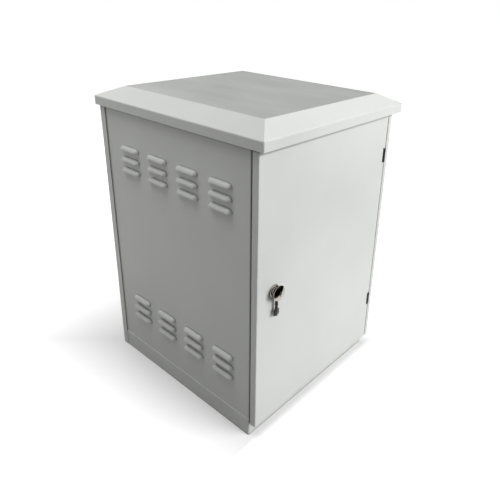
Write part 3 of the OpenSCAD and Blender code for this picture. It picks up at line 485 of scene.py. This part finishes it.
# %% Finishes on the nodes
SLOT_OF = {entry["node"]: entry["material_slot"] for entry in frame["record"]["subparts"]}
bodies = frame["record"]["behaviour"]["bodies"]
BODY_OF = {node: body for body, members in bodies.items() for node in members}
for node, slot in SLOT_OF.items():
    nodes[node].data.materials.clear()
    nodes[node].data.materials.append(FINISHES[slot])
print("finishes on", len(SLOT_OF), "nodes of", sorted(set(BODY_OF.values())))

# %% [markdown]
# ## Modelling helpers
# The sheet-metal solids are right as they are. What a close look still misses is on the small parts:
# rounded rims, crowned nuts, recesses, threads and a split ring.
# Each is modelled as by hand and then stands in for its plain solid.
# Most are turned parts, so the first helpers draw half an outline by pulling a point along,
# and spin it round an axis. The others cut, copy, join and hand over the finished piece.

# %% Turning
WELD_MM, ROUND_STEPS = 0.004, 32


def only(piece):
    bpy.ops.object.select_all(action="DESELECT")
    piece.select_set(True)
    bpy.context.view_layer.objects.active = piece
    return piece


def pull(points):
    bpy.ops.object.select_all(action="DESELECT")
    bpy.ops.mesh.primitive_plane_add(size=MM, location=(0, 0, 0))
    bpy.ops.object.mode_set(mode="EDIT")
    bpy.ops.mesh.select_mode(type="VERT")
    bpy.ops.mesh.merge(type="CENTER")
    bpy.ops.transform.translate(value=points[0])
    for here, there in zip(points, points[1:]):
        bpy.ops.mesh.extrude_region_move(TRANSFORM_OT_translate={"value": there - here})
    bpy.ops.mesh.select_all(action="SELECT")
    return bpy.context.object


def turned(outline, at, axis, steps=ROUND_STEPS):
    # outline: (distance from the axis, place along it) in millimetres
    middle, along = Vector(at) * MM, Vector(axis)
    side = Vector((0, 0, 1)) if axis[2] == 0 else Vector((0, 1, 0))
    piece = pull([middle + side * r * MM + along * s * MM for r, s in outline])
    bpy.ops.mesh.spin(steps=steps, angle=math.tau, center=middle, axis=along)
    bpy.ops.mesh.select_all(action="SELECT")
    bpy.ops.mesh.remove_doubles(threshold=WELD_MM * MM)
    bpy.ops.mesh.normals_make_consistent(inside=False)
    bpy.ops.object.mode_set(mode="OBJECT")
    return piece


print("points closer than", WELD_MM, "mm are welded")


# %% Cutting
def shaped(piece, tool, how):
    only(piece)
    change = piece.modifiers.new(how.lower(), "BOOLEAN")
    change.operation, change.object, change.solver = how, tool, "EXACT"
    bpy.ops.object.modifier_apply(modifier=change.name)
    bpy.data.objects.remove(tool)
    return piece


def drill(radius, start, end, at, axis, steps=ROUND_STEPS):
    return turned([(0, start), (radius, start), (radius, end), (0, end)], at, axis, steps)


def block(low, high):
    bpy.ops.object.select_all(action="DESELECT")
    middle = [(a + b) / 2 * MM for a, b in zip(low, high)]
    size = [(b - a) * MM for a, b in zip(low, high)]
    bpy.ops.mesh.primitive_cube_add(size=1, location=middle, scale=size)
    bpy.ops.object.transform_apply(location=True, rotation=True, scale=True)
    return bpy.context.object


def box_mm(node):
    low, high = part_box(node)
    return [v / MM for v in low], [v / MM for v in high]


print("knob box", [[round(v, 1) for v in corner] for corner in box_mm("turn_knob")])

# %% Copying and handing over
SMOOTH_BELOW = 35


def copies(piece, places):
    made = []
    for place in places:
        twin = piece.copy()
        twin.data = piece.data.copy()
        twin.data.transform(Matrix.Translation(Vector(place) * MM))
        bpy.context.scene.collection.objects.link(twin)
        made.append(twin)
    bpy.data.objects.remove(piece)
    return made


def joined(pieces):
    only(pieces[0])
    for piece in pieces:
        piece.select_set(True)
    bpy.ops.object.join()
    return bpy.context.object


def stands_in(piece, name, node, angle=SMOOTH_BELOW, finish=None):
    only(piece)
    piece.name = piece.data.name = name
    bpy.ops.object.transform_apply(location=True, rotation=True, scale=True)
    bpy.ops.object.shade_smooth_by_angle(angle=math.radians(angle))
    piece.data.materials.clear()
    piece.data.materials.append(FINISHES[finish or SLOT_OF[node]])
    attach(piece, BODY_OF[node])
    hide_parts(node)
    print(name, "stands in for", node, "with", len(piece.data.polygons), "faces")


print("edges under", SMOOTH_BELOW, "degrees look smooth")

# %% [markdown]
# ## Turn knob
# The knob is turned from bar, domed at the face and polished before plating.
# A bevelled cylinder has no dome and no rolled rim, and those give chrome its bright lines,
# so it is turned here too.
# The outline runs from the middle of the dome, round the rim and back along the spindle to the cam's screw.
# The keyhole, a round hole with a slot for a double bit, is cut afterwards.

# %% Knob
ALONG_X, ALONG_Y, ALONG_Z = (1, 0, 0), (0, 1, 0), (0, 0, 1)
LOCK_X, LOCK_Z = -234, 477
LOCK_AXIS = (LOCK_X, 0, LOCK_Z)
FACE_Y, KNOB_Y, KNOB_R, DOME_H = -365.9, -357.9, 22, 4.5
DOME_STEPS, DOME_SHARE, KNOB_STEPS = 12, 0.965, 72
# rim: inward from the knob's radius, forward of its back
KNOB_RIM = ((0.3, 3.6), (0.05, 3), (0, 2.4), (0.1, 1.6), (0.6, 0.9), (1.6, 0.2), (2.4, 0))
SPINDLE_R, SPINDLE_END_Y = 6, -314.3
SCREW_BORE_R, SCREW_BORE_Y = 2.6, -323.6
dome_r = (KNOB_R ** 2 + DOME_H ** 2) / (2 * DOME_H)
dome_reach = [KNOB_R * i / DOME_STEPS * DOME_SHARE for i in range(DOME_STEPS + 1)]
outline = [(r, FACE_Y + dome_r - math.sqrt(dome_r ** 2 - r * r)) for r in dome_reach]
outline += [(KNOB_R - inward, KNOB_Y - forwards) for inward, forwards in KNOB_RIM]
outline += [(SPINDLE_R, KNOB_Y), (SPINDLE_R, SPINDLE_END_Y)]
outline += [(SCREW_BORE_R, SPINDLE_END_Y), (SCREW_BORE_R, SCREW_BORE_Y), (0, SCREW_BORE_Y)]
knob = turned(outline, LOCK_AXIS, ALONG_Y, KNOB_STEPS)
print("dome radius", round(dome_r, 2), "mm")

# %% Keyhole
KEYHOLE_R, KEYHOLE_FRONT_Y, KEYHOLE_END_Y = 4.3, -368, -361.9
SLOT_W, SLOT_L = 3, 17
hole = drill(KEYHOLE_R, KEYHOLE_FRONT_Y, KEYHOLE_END_Y, LOCK_AXIS, ALONG_Y)
slot_cut = block((LOCK_X - SLOT_W / 2, KEYHOLE_FRONT_Y, LOCK_Z - SLOT_L / 2),
                 (LOCK_X + SLOT_W / 2, KEYHOLE_END_Y, LOCK_Z + SLOT_L / 2))
shaped(knob, shaped(hole, slot_cut, "UNION"), "DIFFERENCE")
stands_in(knob, "domed_knob", "turn_knob")

# %% [markdown]
# ## Threads
# The lock's barrel and the earth stud are threaded.
# Rings round a rod, or a bump in the material, look like a thread from afar,
# but a true thread is one ridge that climbs round the core, and its end shows.
# So its section is drawn once, the Screw modifier winds it up, and a union welds it to the core.

# %% Winding and threading
THREAD_STEPS, RIDGE_SUNK = 20, 0.3
RIDGE_SHARES = (0.1, 0.45, 0.55, 0.9)


def wound(section, rise, turns, steps):
    # section: (distance from the Z axis, place along it) in millimetres
    coil = pull([Vector((r * MM, 0, s * MM)) for r, s in section])
    bpy.ops.mesh.edge_face_add()
    bpy.ops.mesh.delete(type="ONLY_FACE")
    bpy.ops.object.mode_set(mode="OBJECT")
    wind = coil.modifiers.new("wind", "SCREW")
    wind.axis, wind.screw_offset, wind.iterations = "Z", rise * MM, turns
    wind.steps = wind.render_steps = steps
    bpy.ops.object.modifier_apply(modifier=wind.name)
    bpy.ops.object.mode_set(mode="EDIT")
    bpy.ops.mesh.select_all(action="SELECT")
    bpy.ops.mesh.fill_holes(sides=0)
    bpy.ops.mesh.select_all(action="SELECT")
    bpy.ops.mesh.normals_make_consistent(inside=False)
    bpy.ops.object.mode_set(mode="OBJECT")
    return coil


def threaded(core, start, root, crest, pitch, turns):
    # the ridge is wound round Z, then laid along Y at its start
    radii = (root - RIDGE_SUNK, crest, crest, root - RIDGE_SUNK)
    ridge = wound([(r, share * pitch) for r, share in zip(radii, RIDGE_SHARES)], pitch, turns, THREAD_STEPS)
    ridge.rotation_euler = (-math.pi / 2, 0, 0)
    ridge.location = Vector(start) * MM
    only(ridge)
    bpy.ops.object.transform_apply(location=True, rotation=True, scale=True)
    return shaped(core, ridge, "UNION")


print("a thread has", THREAD_STEPS, "steps a turn")

# %% [markdown]
# ## Lock housing
# Behind the knob sit a neck, a flat rosette against the door and a barrel through it,
# all turned in one piece.
# Three stacked cylinders would meet in hard corners. One outline, spun once, can ease every edge
# and fill the foot of the neck. The barrel's thread takes the lock nut inside the door.

# %% Housing
BORE_R, NECK_R, ROSETTE_R, BARREL_R, BARREL_ROOT_R = 6.15, 13, 18, 11, 10.3
NECK_FRONT_Y, ROSETTE_Y, DOOR_Y, BARREL_END_Y = -357.6, -346.6, -342.6, -315.5
# edges: inward from the radius, back from the front face; the foot is ahead of the rosette
NECK_EDGE = ((0.6, 0), (0.15, 0.2), (0, 0.7))
NECK_FOOT = ((0, 1), (-0.3, 0.3), (-1, 0))
ROSETTE_EDGE = ((2, 0), (1.1, 0.2), (0.4, 0.8), (0.1, 1.6), (0, 2.4))
BARREL_EASE, HOUSING_STEPS = (0.6, 0.7), 64
outline = [(BORE_R, NECK_FRONT_Y)]
outline += [(NECK_R - inward, NECK_FRONT_Y + back) for inward, back in NECK_EDGE]
outline += [(NECK_R - inward, ROSETTE_Y - forwards) for inward, forwards in NECK_FOOT]
outline += [(ROSETTE_R - inward, ROSETTE_Y + back) for inward, back in ROSETTE_EDGE]
outline += [(ROSETTE_R, DOOR_Y), (BARREL_ROOT_R, DOOR_Y), (BARREL_ROOT_R, BARREL_END_Y - BARREL_EASE[1])]
outline += [(BARREL_ROOT_R - BARREL_EASE[0], BARREL_END_Y), (BORE_R, BARREL_END_Y), (BORE_R, NECK_FRONT_Y)]
housing = turned(outline, LOCK_AXIS, ALONG_Y, HOUSING_STEPS)
print("housing outline has", len(outline), "points")

# %% Barrel's thread
BARREL_PITCH, BARREL_TURNS, BARREL_THREAD_Y = 1.5, 16, -341.5
threaded(housing, (LOCK_X, BARREL_THREAD_Y, LOCK_Z), BARREL_ROOT_R, BARREL_R, BARREL_PITCH, BARREL_TURNS)
stands_in(housing, "turned_housing", "lock_housing")

# %% [markdown]
# ## Key
# A double-bit key hangs in front of the door: a round stem with a collar,
# a flat bit on each side near the tip, and a wire eye. A flat cut-out would look like a card from the side.
# So the stem and eye are turned, the bit is a block with stepped notches cut from its edges,
# and unions weld them together.

# %% Key stem
KEY_Y, KEY_TIP_Z, STEM_R, STEM_TOP_Z = -352.25, 402.8, 4, 453.6
COLLAR_R, COLLAR_LOW_Z, COLLAR_HIGH_Z, COLLAR_SLOPE = 4.6, 437, 441, 0.8
# radius, and distance from the tip or from the top
STEM_POINT, STEM_SHOULDER = ((1.6, 0), (2.6, 0.7), (STEM_R, 3)), ((STEM_R, 2.2), (3.2, 0.6), (1.8, 0))
outline = [(0, KEY_TIP_Z)] + [(r, KEY_TIP_Z + rise) for r, rise in STEM_POINT]
outline += [(STEM_R, COLLAR_LOW_Z), (COLLAR_R, COLLAR_LOW_Z + COLLAR_SLOPE)]
outline += [(COLLAR_R, COLLAR_HIGH_Z - COLLAR_SLOPE), (STEM_R, COLLAR_HIGH_Z)]
outline += [(r, STEM_TOP_Z - drop) for r, drop in STEM_SHOULDER] + [(0, STEM_TOP_Z)]
key = turned(outline, (LOCK_X, KEY_Y, 0), ALONG_Z)
print("key stem", round(STEM_TOP_Z - KEY_TIP_Z, 1), "mm long")

# %% Key bit
BIT_HALF_W, BIT_HALF_T, BIT_LOW_Z, BIT_HIGH_Z, NOTCH_OVERRUN = 9.5, 1.5, 405.8, 422.8, 1.5
# notches: from and to in height, depth
NOTCHES = ((409, 411, 3.5), (414.5, 416, 2.5), (418.5, 420.5, 3))
bit = block((LOCK_X - BIT_HALF_W, KEY_Y - BIT_HALF_T, BIT_LOW_Z),
            (LOCK_X + BIT_HALF_W, KEY_Y + BIT_HALF_T, BIT_HIGH_Z))
notch_half_t = BIT_HALF_T + NOTCH_OVERRUN
for side in (-1, 1):
    for low, high, depth in NOTCHES:
        inner, outer = LOCK_X + side * (BIT_HALF_W - depth), LOCK_X + side * (BIT_HALF_W + NOTCH_OVERRUN)
        notch = block((min(inner, outer), KEY_Y - notch_half_t, low),
                      (max(inner, outer), KEY_Y + notch_half_t, high))
        shaped(bit, notch, "DIFFERENCE")
shaped(key, bit, "UNION")
print("bit with", 2 * len(NOTCHES), "notches")

# %% Key eye
EYE_Z, EYE_R, EYE_WIRE_R, EYE_SIDES = 457.0, 3.9, 1.3, 12
eye_turns = [math.tau * i / EYE_SIDES for i in range(EYE_SIDES)]
eye_wire = [(EYE_R + EYE_WIRE_R * math.cos(turn), EYE_WIRE_R * math.sin(turn)) for turn in eye_turns]
eye = turned(eye_wire + eye_wire[:1], (LOCK_X, KEY_Y, EYE_Z), ALONG_X)
shaped(key, eye, "UNION")
stands_in(key, "double_bit_key", "hung_key", finish="dark_key_metal")

# %% [markdown]
# ## Split ring
# The key hangs on a split ring, a flat wire wound twice, so that keys can be threaded on.
# A torus would be one closed round wire. Here the helper for threads winds
# the wire's flat section two turns, which leaves both ends to be seen.

# %% Split ring
RING_Z, RING_R, WIRE_HALF_W, WIRE_T, RING_RISE = 474.8, 16.5, 0.95, 0.94, 0.5
RING_TURNS, RING_STEPS = 2, 48
# shares of the wire's half width and thickness, with eased corners
WIRE_SHARES = ((-1, 0.15), (-0.85, 0), (0.85, 0), (1, 0.15), (1, 0.85), (0.85, 1), (-0.85, 1), (-1, 0.85))
section = [(RING_R + a * WIRE_HALF_W, b * WIRE_T - WIRE_T) for a, b in WIRE_SHARES]
ring = wound(section, RING_RISE, RING_TURNS, RING_STEPS)
ring.rotation_euler = (math.pi / 2, 0, 0)
ring.location = Vector((LOCK_X, KEY_Y, RING_Z)) * MM
stands_in(ring, "split_ring", "key_ring", finish="dark_key_metal")

# %% [markdown]
# ## Hexagons
# Bolt heads and nuts are hexagons whose corners are turned off at about thirty degrees,
# so a curved bright edge runs round each face. A hexagon with a plain bevel doesn't show that curve.
# Here a turned blank with conical ends is cut to six flats by an intersection.
# One function makes every head and nut from its size across the flats, and each is copied to its places.

# %% Hexagon
Y, Z = 1, 2  # the axes' places in a vector
CROWN_SLOPE = math.tan(math.radians(30))
BLANK_SHARE, CROWN_SHARE, BLANK_STEPS, OVERRUN = 1.02, 0.48, 50, 1


def unit(axis_index):
    return Vector([1 if i == axis_index else 0 for i in range(3)])


def hexagon(at, axis_index, across, length, bore, crowns):
    # crowns: the share of a full crown that the low and the high end get
    corner, flat = across / math.sqrt(3) * BLANK_SHARE, across * CROWN_SHARE
    low, high = ((corner - flat) * CROWN_SLOPE * share for share in crowns)
    outline = [(bore, 0)] + ([(flat, 0), (corner, low)] if low else [(corner, 0)])
    outline += [(corner, length - high), (flat, length)] if high else [(corner, length)]
    outline += [(bore, length)]
    blank = turned(outline + ([(bore, 0)] if bore else []), at, unit(axis_index), BLANK_STEPS)
    middle = (Vector(at) + unit(axis_index) * length / 2) * MM
    turn = (math.pi / 2, math.pi / 6, 0) if axis_index == Y else (0, 0, math.pi / 6)
    bpy.ops.object.select_all(action="DESELECT")
    bpy.ops.mesh.primitive_cylinder_add(vertices=6, radius=across / math.sqrt(3) * MM,
                                        depth=(length + 2 * OVERRUN) * MM, location=middle, rotation=turn)
    bpy.ops.object.transform_apply(location=True, rotation=True, scale=True)
    return shaped(blank, bpy.context.object, "INTERSECT")


print("crown slope", round(CROWN_SLOPE, 3))

# %% Rod, bolt and nut
M8_ACROSS, M8_HEAD, M8_R, M8_BORE_R = 13, 5.3, 3.9, 4.1
SHANK_FROM = 4  # the shank starts inside the head, so that the union has something to weld
EASE_MOST, EASE_SHARE = 0.6, 0.25


def rod(at, axis_index, radius, length):
    ease = min(EASE_MOST, radius * EASE_SHARE)
    outline = [(0, 0), (radius - ease, 0), (radius, ease)]
    outline += [(radius, length - ease), (radius - ease, length), (0, length)]
    return turned(outline, at, unit(axis_index))


def m8_bolt(node, axis_index):
    low, high = (corner[axis_index] for corner in box_mm(node))
    bolt = hexagon(unit(axis_index) * low, axis_index, M8_ACROSS, M8_HEAD, 0, (1, 0))
    shank = rod(unit(axis_index) * (low + SHANK_FROM), axis_index, M8_R, high - low - SHANK_FROM)
    return shaped(bolt, shank, "UNION")


def m8_nut(node, axis_index):
    low, high = (corner[axis_index] for corner in box_mm(node))
    return hexagon(unit(axis_index) * low, axis_index, M8_ACROSS, high - low, M8_BORE_R, (1, 1))


print("M8 bolts and nuts,", M8_ACROSS, "mm across the flats")

# %% [markdown]
# ## Roof bolts and nuts
# Four bolts hold the roof's bearers down on the side frames, with their heads below.
# Each could be modelled where it sits. One bolt and one nut are modelled on the axis instead,
# and copied to the four corners, so all four are sure to be alike.

# %% Roof bolts and nuts
SIDE_X, BEARER_Y = 282.85, 182
roof_places = [(x, y, 0) for x in (-SIDE_X, SIDE_X) for y in (-BEARER_Y, BEARER_Y)]
roof_bolts = joined(copies(m8_bolt("roof_bolts", Z), roof_places))
stands_in(roof_bolts, "crowned_roof_bolts", "roof_bolts")
roof_nuts = joined(copies(m8_nut("roof_nuts", Z), roof_places))
stands_in(roof_nuts, "crowned_roof_nuts", "roof_nuts")

# %% [markdown]
# ## Gear plate bolts and nuts
# The plate that carries the equipment hangs on two rails by four bolts of the same size,
# which point backwards.
# The functions for the roof serve again, along another axis, so no second bolt has to be drawn.

# %% Gear plate bolts and nuts
GEAR_X, GEAR_LOW_Z, GEAR_HIGH_Z = 200, 240, 710
gear_places = [(x, 0, z) for x in (-GEAR_X, GEAR_X) for z in (GEAR_LOW_Z, GEAR_HIGH_Z)]
gear_bolts = joined(copies(m8_bolt("gear_plate_bolts", Y), gear_places))
stands_in(gear_bolts, "crowned_gear_bolts", "gear_plate_bolts")
gear_nuts = joined(copies(m8_nut("gear_plate_nuts", Y), gear_places))
stands_in(gear_nuts, "crowned_gear_nuts", "gear_plate_nuts")

# %% [markdown]
# ## Hinge nuts and lock nut
# Small nuts hold the hinge leaves on their studs inside the door, and one wide thin nut holds the lock.
# They are crowned on the open side only, because the other side lies flat on the metal,
# so they use the hexagon itself and leave one crown out.

# %% Hinge nuts and lock nut
HINGE_HEIGHTS, STUD_X, STUD_MIDDLE, STUD_HALF = (210, 740), 252, 11.35, 5.5
STUD_UPS = (STUD_MIDDLE - STUD_HALF, STUD_MIDDLE + STUD_HALF)
M5_ACROSS, M5_BORE_R, LOCK_NUT_ACROSS, LOCK_NUT_BORE_R = 8, 2.55, 30, 11.05
low, high = (corner[Y] for corner in box_mm("hinge_nuts"))
nut = hexagon((STUD_X, low, 0), Y, M5_ACROSS, high - low, M5_BORE_R, (0, 1))
nut_places = [(0, 0, z + rise) for z in HINGE_HEIGHTS for rise in STUD_UPS]
stands_in(joined(copies(nut, nut_places)), "crowned_hinge_nuts", "hinge_nuts")
low, high = (corner[Y] for corner in box_mm("lock_nut"))
nut = hexagon((LOCK_X, low, LOCK_Z), Y, LOCK_NUT_ACROSS, high - low, LOCK_NUT_BORE_R, (0, 1))
stands_in(nut, "crowned_lock_nut", "lock_nut")

# %% [markdown]
# ## Earth stud
# The earth stud is a length of brass threaded rod through the gear plate, held by a nut on each side
# and with one more nut for the earth wire.
# It shows its thread from end to end, so a smooth rod would look wrong.
# It gets a real thread, made in the same way as the lock's.

# %% Earth stud and nuts
EARTH_X, EARTH_Z = -185, 175
EARTH_ROOT_R, EARTH_CREST_R, EARTH_PITCH = 3.4, 3.98, 1.25
EARTH_THREAD_FROM, EARTH_THREAD_SPARE = 0.8, 2
EARTH_NUT_T, EARTH_NUT_BORE_R, EARTH_NUT_FRONTS = 6.5, 4.05, (279.7, 286.5, 295.5)
low, high = (corner[Y] for corner in box_mm("earth_stud"))
stud = rod((EARTH_X, low, EARTH_Z), Y, EARTH_ROOT_R, high - low)
stud_turns = int((high - low - EARTH_THREAD_SPARE) / EARTH_PITCH)
thread_start = (EARTH_X, low + EARTH_THREAD_FROM, EARTH_Z)
threaded(stud, thread_start, EARTH_ROOT_R, EARTH_CREST_R, EARTH_PITCH, stud_turns)
stands_in(stud, "threaded_earth_stud", "earth_stud")
nut = hexagon((EARTH_X, 0, EARTH_Z), Y, M8_ACROSS, EARTH_NUT_T, EARTH_NUT_BORE_R, (1, 1))
stands_in(joined(copies(nut, [(0, y, 0) for y in EARTH_NUT_FRONTS])), "crowned_earth_nuts", "earth_nuts")

# %% [markdown]
# ## Pan-head screws
# The rear panel and the gland plate are held by pan-head screws with a cross recess.
# A flattened ball has no shoulder, so the head is turned with a soft one.
# The recess is cut by two tapered blades, because a driver's point narrows towards its tip.
# The cam's screw is the same thing with a washer under its head.

# %% Driver's blade
TIP_SHARE, DOWNWARD = 0.55, -0.9


def blade(at, axis_index, width, length, depth, top, crosswise):
    spans = [(-length / 2, length / 2), (-width / 2, width / 2)]
    first, second = [i for i in range(3) if i != axis_index]
    low, high = [0, 0, 0], [0, 0, 0]
    for i, span in ((first, spans[crosswise]), (second, spans[1 - crosswise])):
        low[i], high[i] = at[i] + span[0], at[i] + span[1]
    low[axis_index], high[axis_index] = top - depth, top + OVERRUN
    piece = block(low, high)
    bpy.ops.object.mode_set(mode="EDIT")
    shape = bmesh.from_edit_mesh(piece.data)
    bpy.ops.mesh.select_all(action="DESELECT")
    for face in shape.faces:
        face.select_set(face.normal[axis_index] < DOWNWARD)
    bmesh.update_edit_mesh(piece.data)
    bpy.ops.transform.resize(value=[1 if i == axis_index else TIP_SHARE for i in range(3)])
    bpy.ops.object.mode_set(mode="OBJECT")
    return piece


print("the blade's tip is", TIP_SHARE, "of its width")

# %% Pan-head screw
# shares of the head's radius and height, from its seat to its top
PAN_SHARES = ((0.97, 0), (1, 0.2), (0.97, 0.45), (0.86, 0.72), (0.62, 0.92), (0.3, 1), (0, 1))
POINT_SHARE, POINT_L, SCREW_STEPS = 0.7, 0.8, 40
RECESS_W_SHARE, RECESS_L_SHARE, RECESS_D_SHARE = 0.26, 1.05, 0.6


def pan_screw(at, axis_index, seat, end, shank_r, head_r, head_h, washer=(0, 0)):
    washer_r, washer_h = washer
    base = seat + washer_h
    outline = [(0, end), (shank_r * POINT_SHARE, end), (shank_r, end + POINT_L), (shank_r, seat)]
    outline += [(washer_r, seat), (washer_r, base)] if washer_h else []
    outline += [(head_r * out, base + head_h * rise) for out, rise in PAN_SHARES]
    centre = [0 if i == axis_index else at[i] for i in range(3)]
    screw = turned(outline, centre, unit(axis_index), SCREW_STEPS)
    recess = [head_r * RECESS_W_SHARE, head_r * RECESS_L_SHARE, head_h * RECESS_D_SHARE]
    for crosswise in (0, 1):
        shaped(screw, blade(centre, axis_index, *recess, base + head_h, crosswise), "DIFFERENCE")
    return screw


print("pan head outline has", len(PAN_SHARES), "points")

# %% Rear panel screws
M5_SHANK_R, REAR_HEAD_R, REAR_SEAT_Y = 2.4, 6, 318.5
REAR_LOW_Z, REAR_HIGH_Z, REAR_ROWS = 118, 828, 4
low, high = (corner[Y] for corner in box_mm("rear_panel_screws"))
screw = pan_screw((0, 0, 0), Y, REAR_SEAT_Y, low, M5_SHANK_R, REAR_HEAD_R, high - REAR_SEAT_Y)
rear_step = (REAR_HIGH_Z - REAR_LOW_Z) / (REAR_ROWS - 1)
rear_places = [(x, 0, REAR_LOW_Z + rear_step * row) for x in (-SIDE_X, SIDE_X) for row in range(REAR_ROWS)]
stands_in(joined(copies(screw, rear_places)), "cross_rear_screws", "rear_panel_screws")

# %% Gland plate screws
GLAND_X, GLAND_ROWS, GLAND_SEAT_Z = 263.7, (-225.2, -10.25, 204.7), 61
low, high = box_mm("gland_plate_screws")
gland_head_r = high[0] - GLAND_X
screw = pan_screw((0, 0, 0), Z, GLAND_SEAT_Z, low[Z], M5_SHANK_R, gland_head_r, high[Z] - GLAND_SEAT_Z)
gland_places = [(x, y, 0) for x in (-GLAND_X, GLAND_X) for y in GLAND_ROWS]
stands_in(joined(copies(screw, gland_places)), "cross_gland_screws", "gland_plate_screws")

# %% Cam screw
CAM_SEAT_Y, CAM_SHANK_R, CAM_HEAD_R = -311, 2.5, 4.5
CAM_WASHER_R, CAM_WASHER_T = 7.5, 1.2
low, high = (corner[Y] for corner in box_mm("cam_screw"))
cam_head_h = high - CAM_SEAT_Y - CAM_WASHER_T
screw = pan_screw(LOCK_AXIS, Y, CAM_SEAT_Y, low, CAM_SHANK_R, CAM_HEAD_R, cam_head_h,
                  (CAM_WASHER_R, CAM_WASHER_T))
stands_in(screw, "cross_cam_screw", "cam_screw")

# %% [markdown]
# ## Hinges
# Each lift-off hinge has two cast halves: a knuckle on a pin and a leaf. Castings have no sharp edges,
# so the knuckle's ends are rounded when it is turned and the leaf's edges get a bevel.
# One bevel over the whole half would also round the seam where leaf and knuckle meet,
# so they are welded by a union afterwards, and the pin's bore is cut through both.
# Both hinges are copies of one model.

# %% Hinge half
HINGE_X, HINGE_Y = 276, -340.1
KNUCKLE_R, KNUCKLE_STEPS, HALF_GAP, HALF_L, BORE_OVERRUN = 6, 40, 0.4, 22.3, 2
# edge: inward from the knuckle's radius, along from its end
KNUCKLE_EDGE = ((1.1, 0), (0.4, 0.3), (0, 1))
LEAF_Y, LEAF_T, LEAF_SHORT, LEAF_BEVEL, LEAF_SEGMENTS = -341.1, 3, 0.4, 0.5, 2
STUD_HOLE_R, STUD_HOLE_STEPS, STUD_HOLE_FRONT_Y, STUD_HOLE_END_Y = 2.75, 24, -345, -330


def hinge_half(low, x0, x1, bore_r, stud_ups):
    high, pin_axis = low + HALF_L, (HINGE_X, HINGE_Y, 0)
    outline = [(0, low)]
    outline += [(KNUCKLE_R - inward, low + along) for inward, along in KNUCKLE_EDGE]
    outline += [(KNUCKLE_R - inward, high - along) for inward, along in reversed(KNUCKLE_EDGE)]
    outline += [(0, high)]
    half = turned(outline, pin_axis, ALONG_Z, KNUCKLE_STEPS)
    leaf = block((x0, LEAF_Y, low + LEAF_SHORT), (x1, LEAF_Y + LEAF_T, high - LEAF_SHORT))
    soften = leaf.modifiers.new("soften", "BEVEL")
    soften.width, soften.segments = LEAF_BEVEL * MM, LEAF_SEGMENTS
    bpy.ops.object.modifier_apply(modifier=soften.name)
    shaped(half, leaf, "UNION")
    bore = drill(bore_r, low - BORE_OVERRUN, high + BORE_OVERRUN, pin_axis, ALONG_Z)
    shaped(half, bore, "DIFFERENCE")
    for rise in stud_ups:
        hole = drill(STUD_HOLE_R, STUD_HOLE_FRONT_Y, STUD_HOLE_END_Y,
                     (STUD_X, 0, rise), ALONG_Y, STUD_HOLE_STEPS)
        shaped(half, hole, "DIFFERENCE")
    return half


print("each hinge half is", HALF_L, "mm long")

# %% Hinges
DOOR_LEAF_L, POST_LEAF_END_X = 33, 296.7
DOOR_BORE_R, POST_BORE_R = 3.06, 3.02
hinge_places = [(0, 0, z) for z in HINGE_HEIGHTS]
door_half = hinge_half(HALF_GAP / 2, HINGE_X - DOOR_LEAF_L, HINGE_X, DOOR_BORE_R, STUD_UPS)
for twin, name in zip(copies(door_half, hinge_places), ("lower", "upper")):
    stands_in(twin, name + "_cast_door_half", name + "_hinge_door_half")
post_half = hinge_half(-HALF_GAP / 2 - HALF_L, HINGE_X, POST_LEAF_END_X, POST_BORE_R, ())
for twin, name in zip(copies(post_half, hinge_places), ("lower", "upper")):
    stands_in(twin, name + "_cast_post_half", name + "_hinge_post_half")

# %% [markdown]
# ## Door seal
# The seal is a strip of soft rubber round the back of the door,
# with a rounded face that lands on the frame.
# A curve with a round section would be round on its glued side too.
# It is flat where it is glued and round where it lands: a sheet of the seal's outer size
# is inset and opened to a ring, pulled to its thickness, and only the landing edges are bevelled.

# %% Seal's flat ring
SEAL_W = 9
low, high = box_mm("door_seal")
seal_middle = [(low[0] + high[0]) / 2 * MM, low[1] * MM, (low[2] + high[2]) / 2 * MM]
bpy.ops.object.select_all(action="DESELECT")
bpy.ops.mesh.primitive_plane_add(size=MM, location=seal_middle, rotation=(math.pi / 2, 0, 0))
seal = bpy.context.object
seal.scale = (high[0] - low[0], high[2] - low[2], 1)
bpy.ops.object.transform_apply(location=True, rotation=True, scale=True)
bpy.ops.object.mode_set(mode="EDIT")
bpy.ops.mesh.select_mode(type="FACE")
bpy.ops.mesh.select_all(action="SELECT")
bpy.ops.mesh.inset(thickness=SEAL_W * MM, depth=0)
bpy.ops.mesh.delete(type="FACE")
bpy.ops.mesh.select_all(action="SELECT")
bpy.ops.mesh.extrude_region_move(TRANSFORM_OT_translate={"value": (0, (high[1] - low[1]) * MM, 0)})
bpy.ops.mesh.select_all(action="SELECT")
bpy.ops.mesh.normals_make_consistent(inside=False)
print("seal", round(high[0] - low[0], 1), "by", round(high[2] - low[2], 1), "mm")

# %% Seal's round face
SEAL_ROUND, SEAL_SEGMENTS, SEAL_SMOOTH_BELOW = 3.2, 5, 50
SHARP_FROM, NEAR = 1, 0.1
shape = bmesh.from_edit_mesh(seal.data)
bpy.ops.mesh.select_all(action="DESELECT")
bpy.ops.mesh.select_mode(type="EDGE")
for edge in shape.edges:
    lands = all(v.co.y / MM > high[1] - NEAR for v in edge.verts)
    sharp = len(edge.link_faces) == 2 and edge.calc_face_angle(0) > SHARP_FROM
    edge.select_set(lands and sharp)
bmesh.update_edit_mesh(seal.data)
bpy.ops.mesh.bevel(offset=SEAL_ROUND * MM, segments=SEAL_SEGMENTS)
bpy.ops.object.mode_set(mode="OBJECT")
stands_in(seal, "round_faced_seal", "door_seal", angle=SEAL_SMOOTH_BELOW)
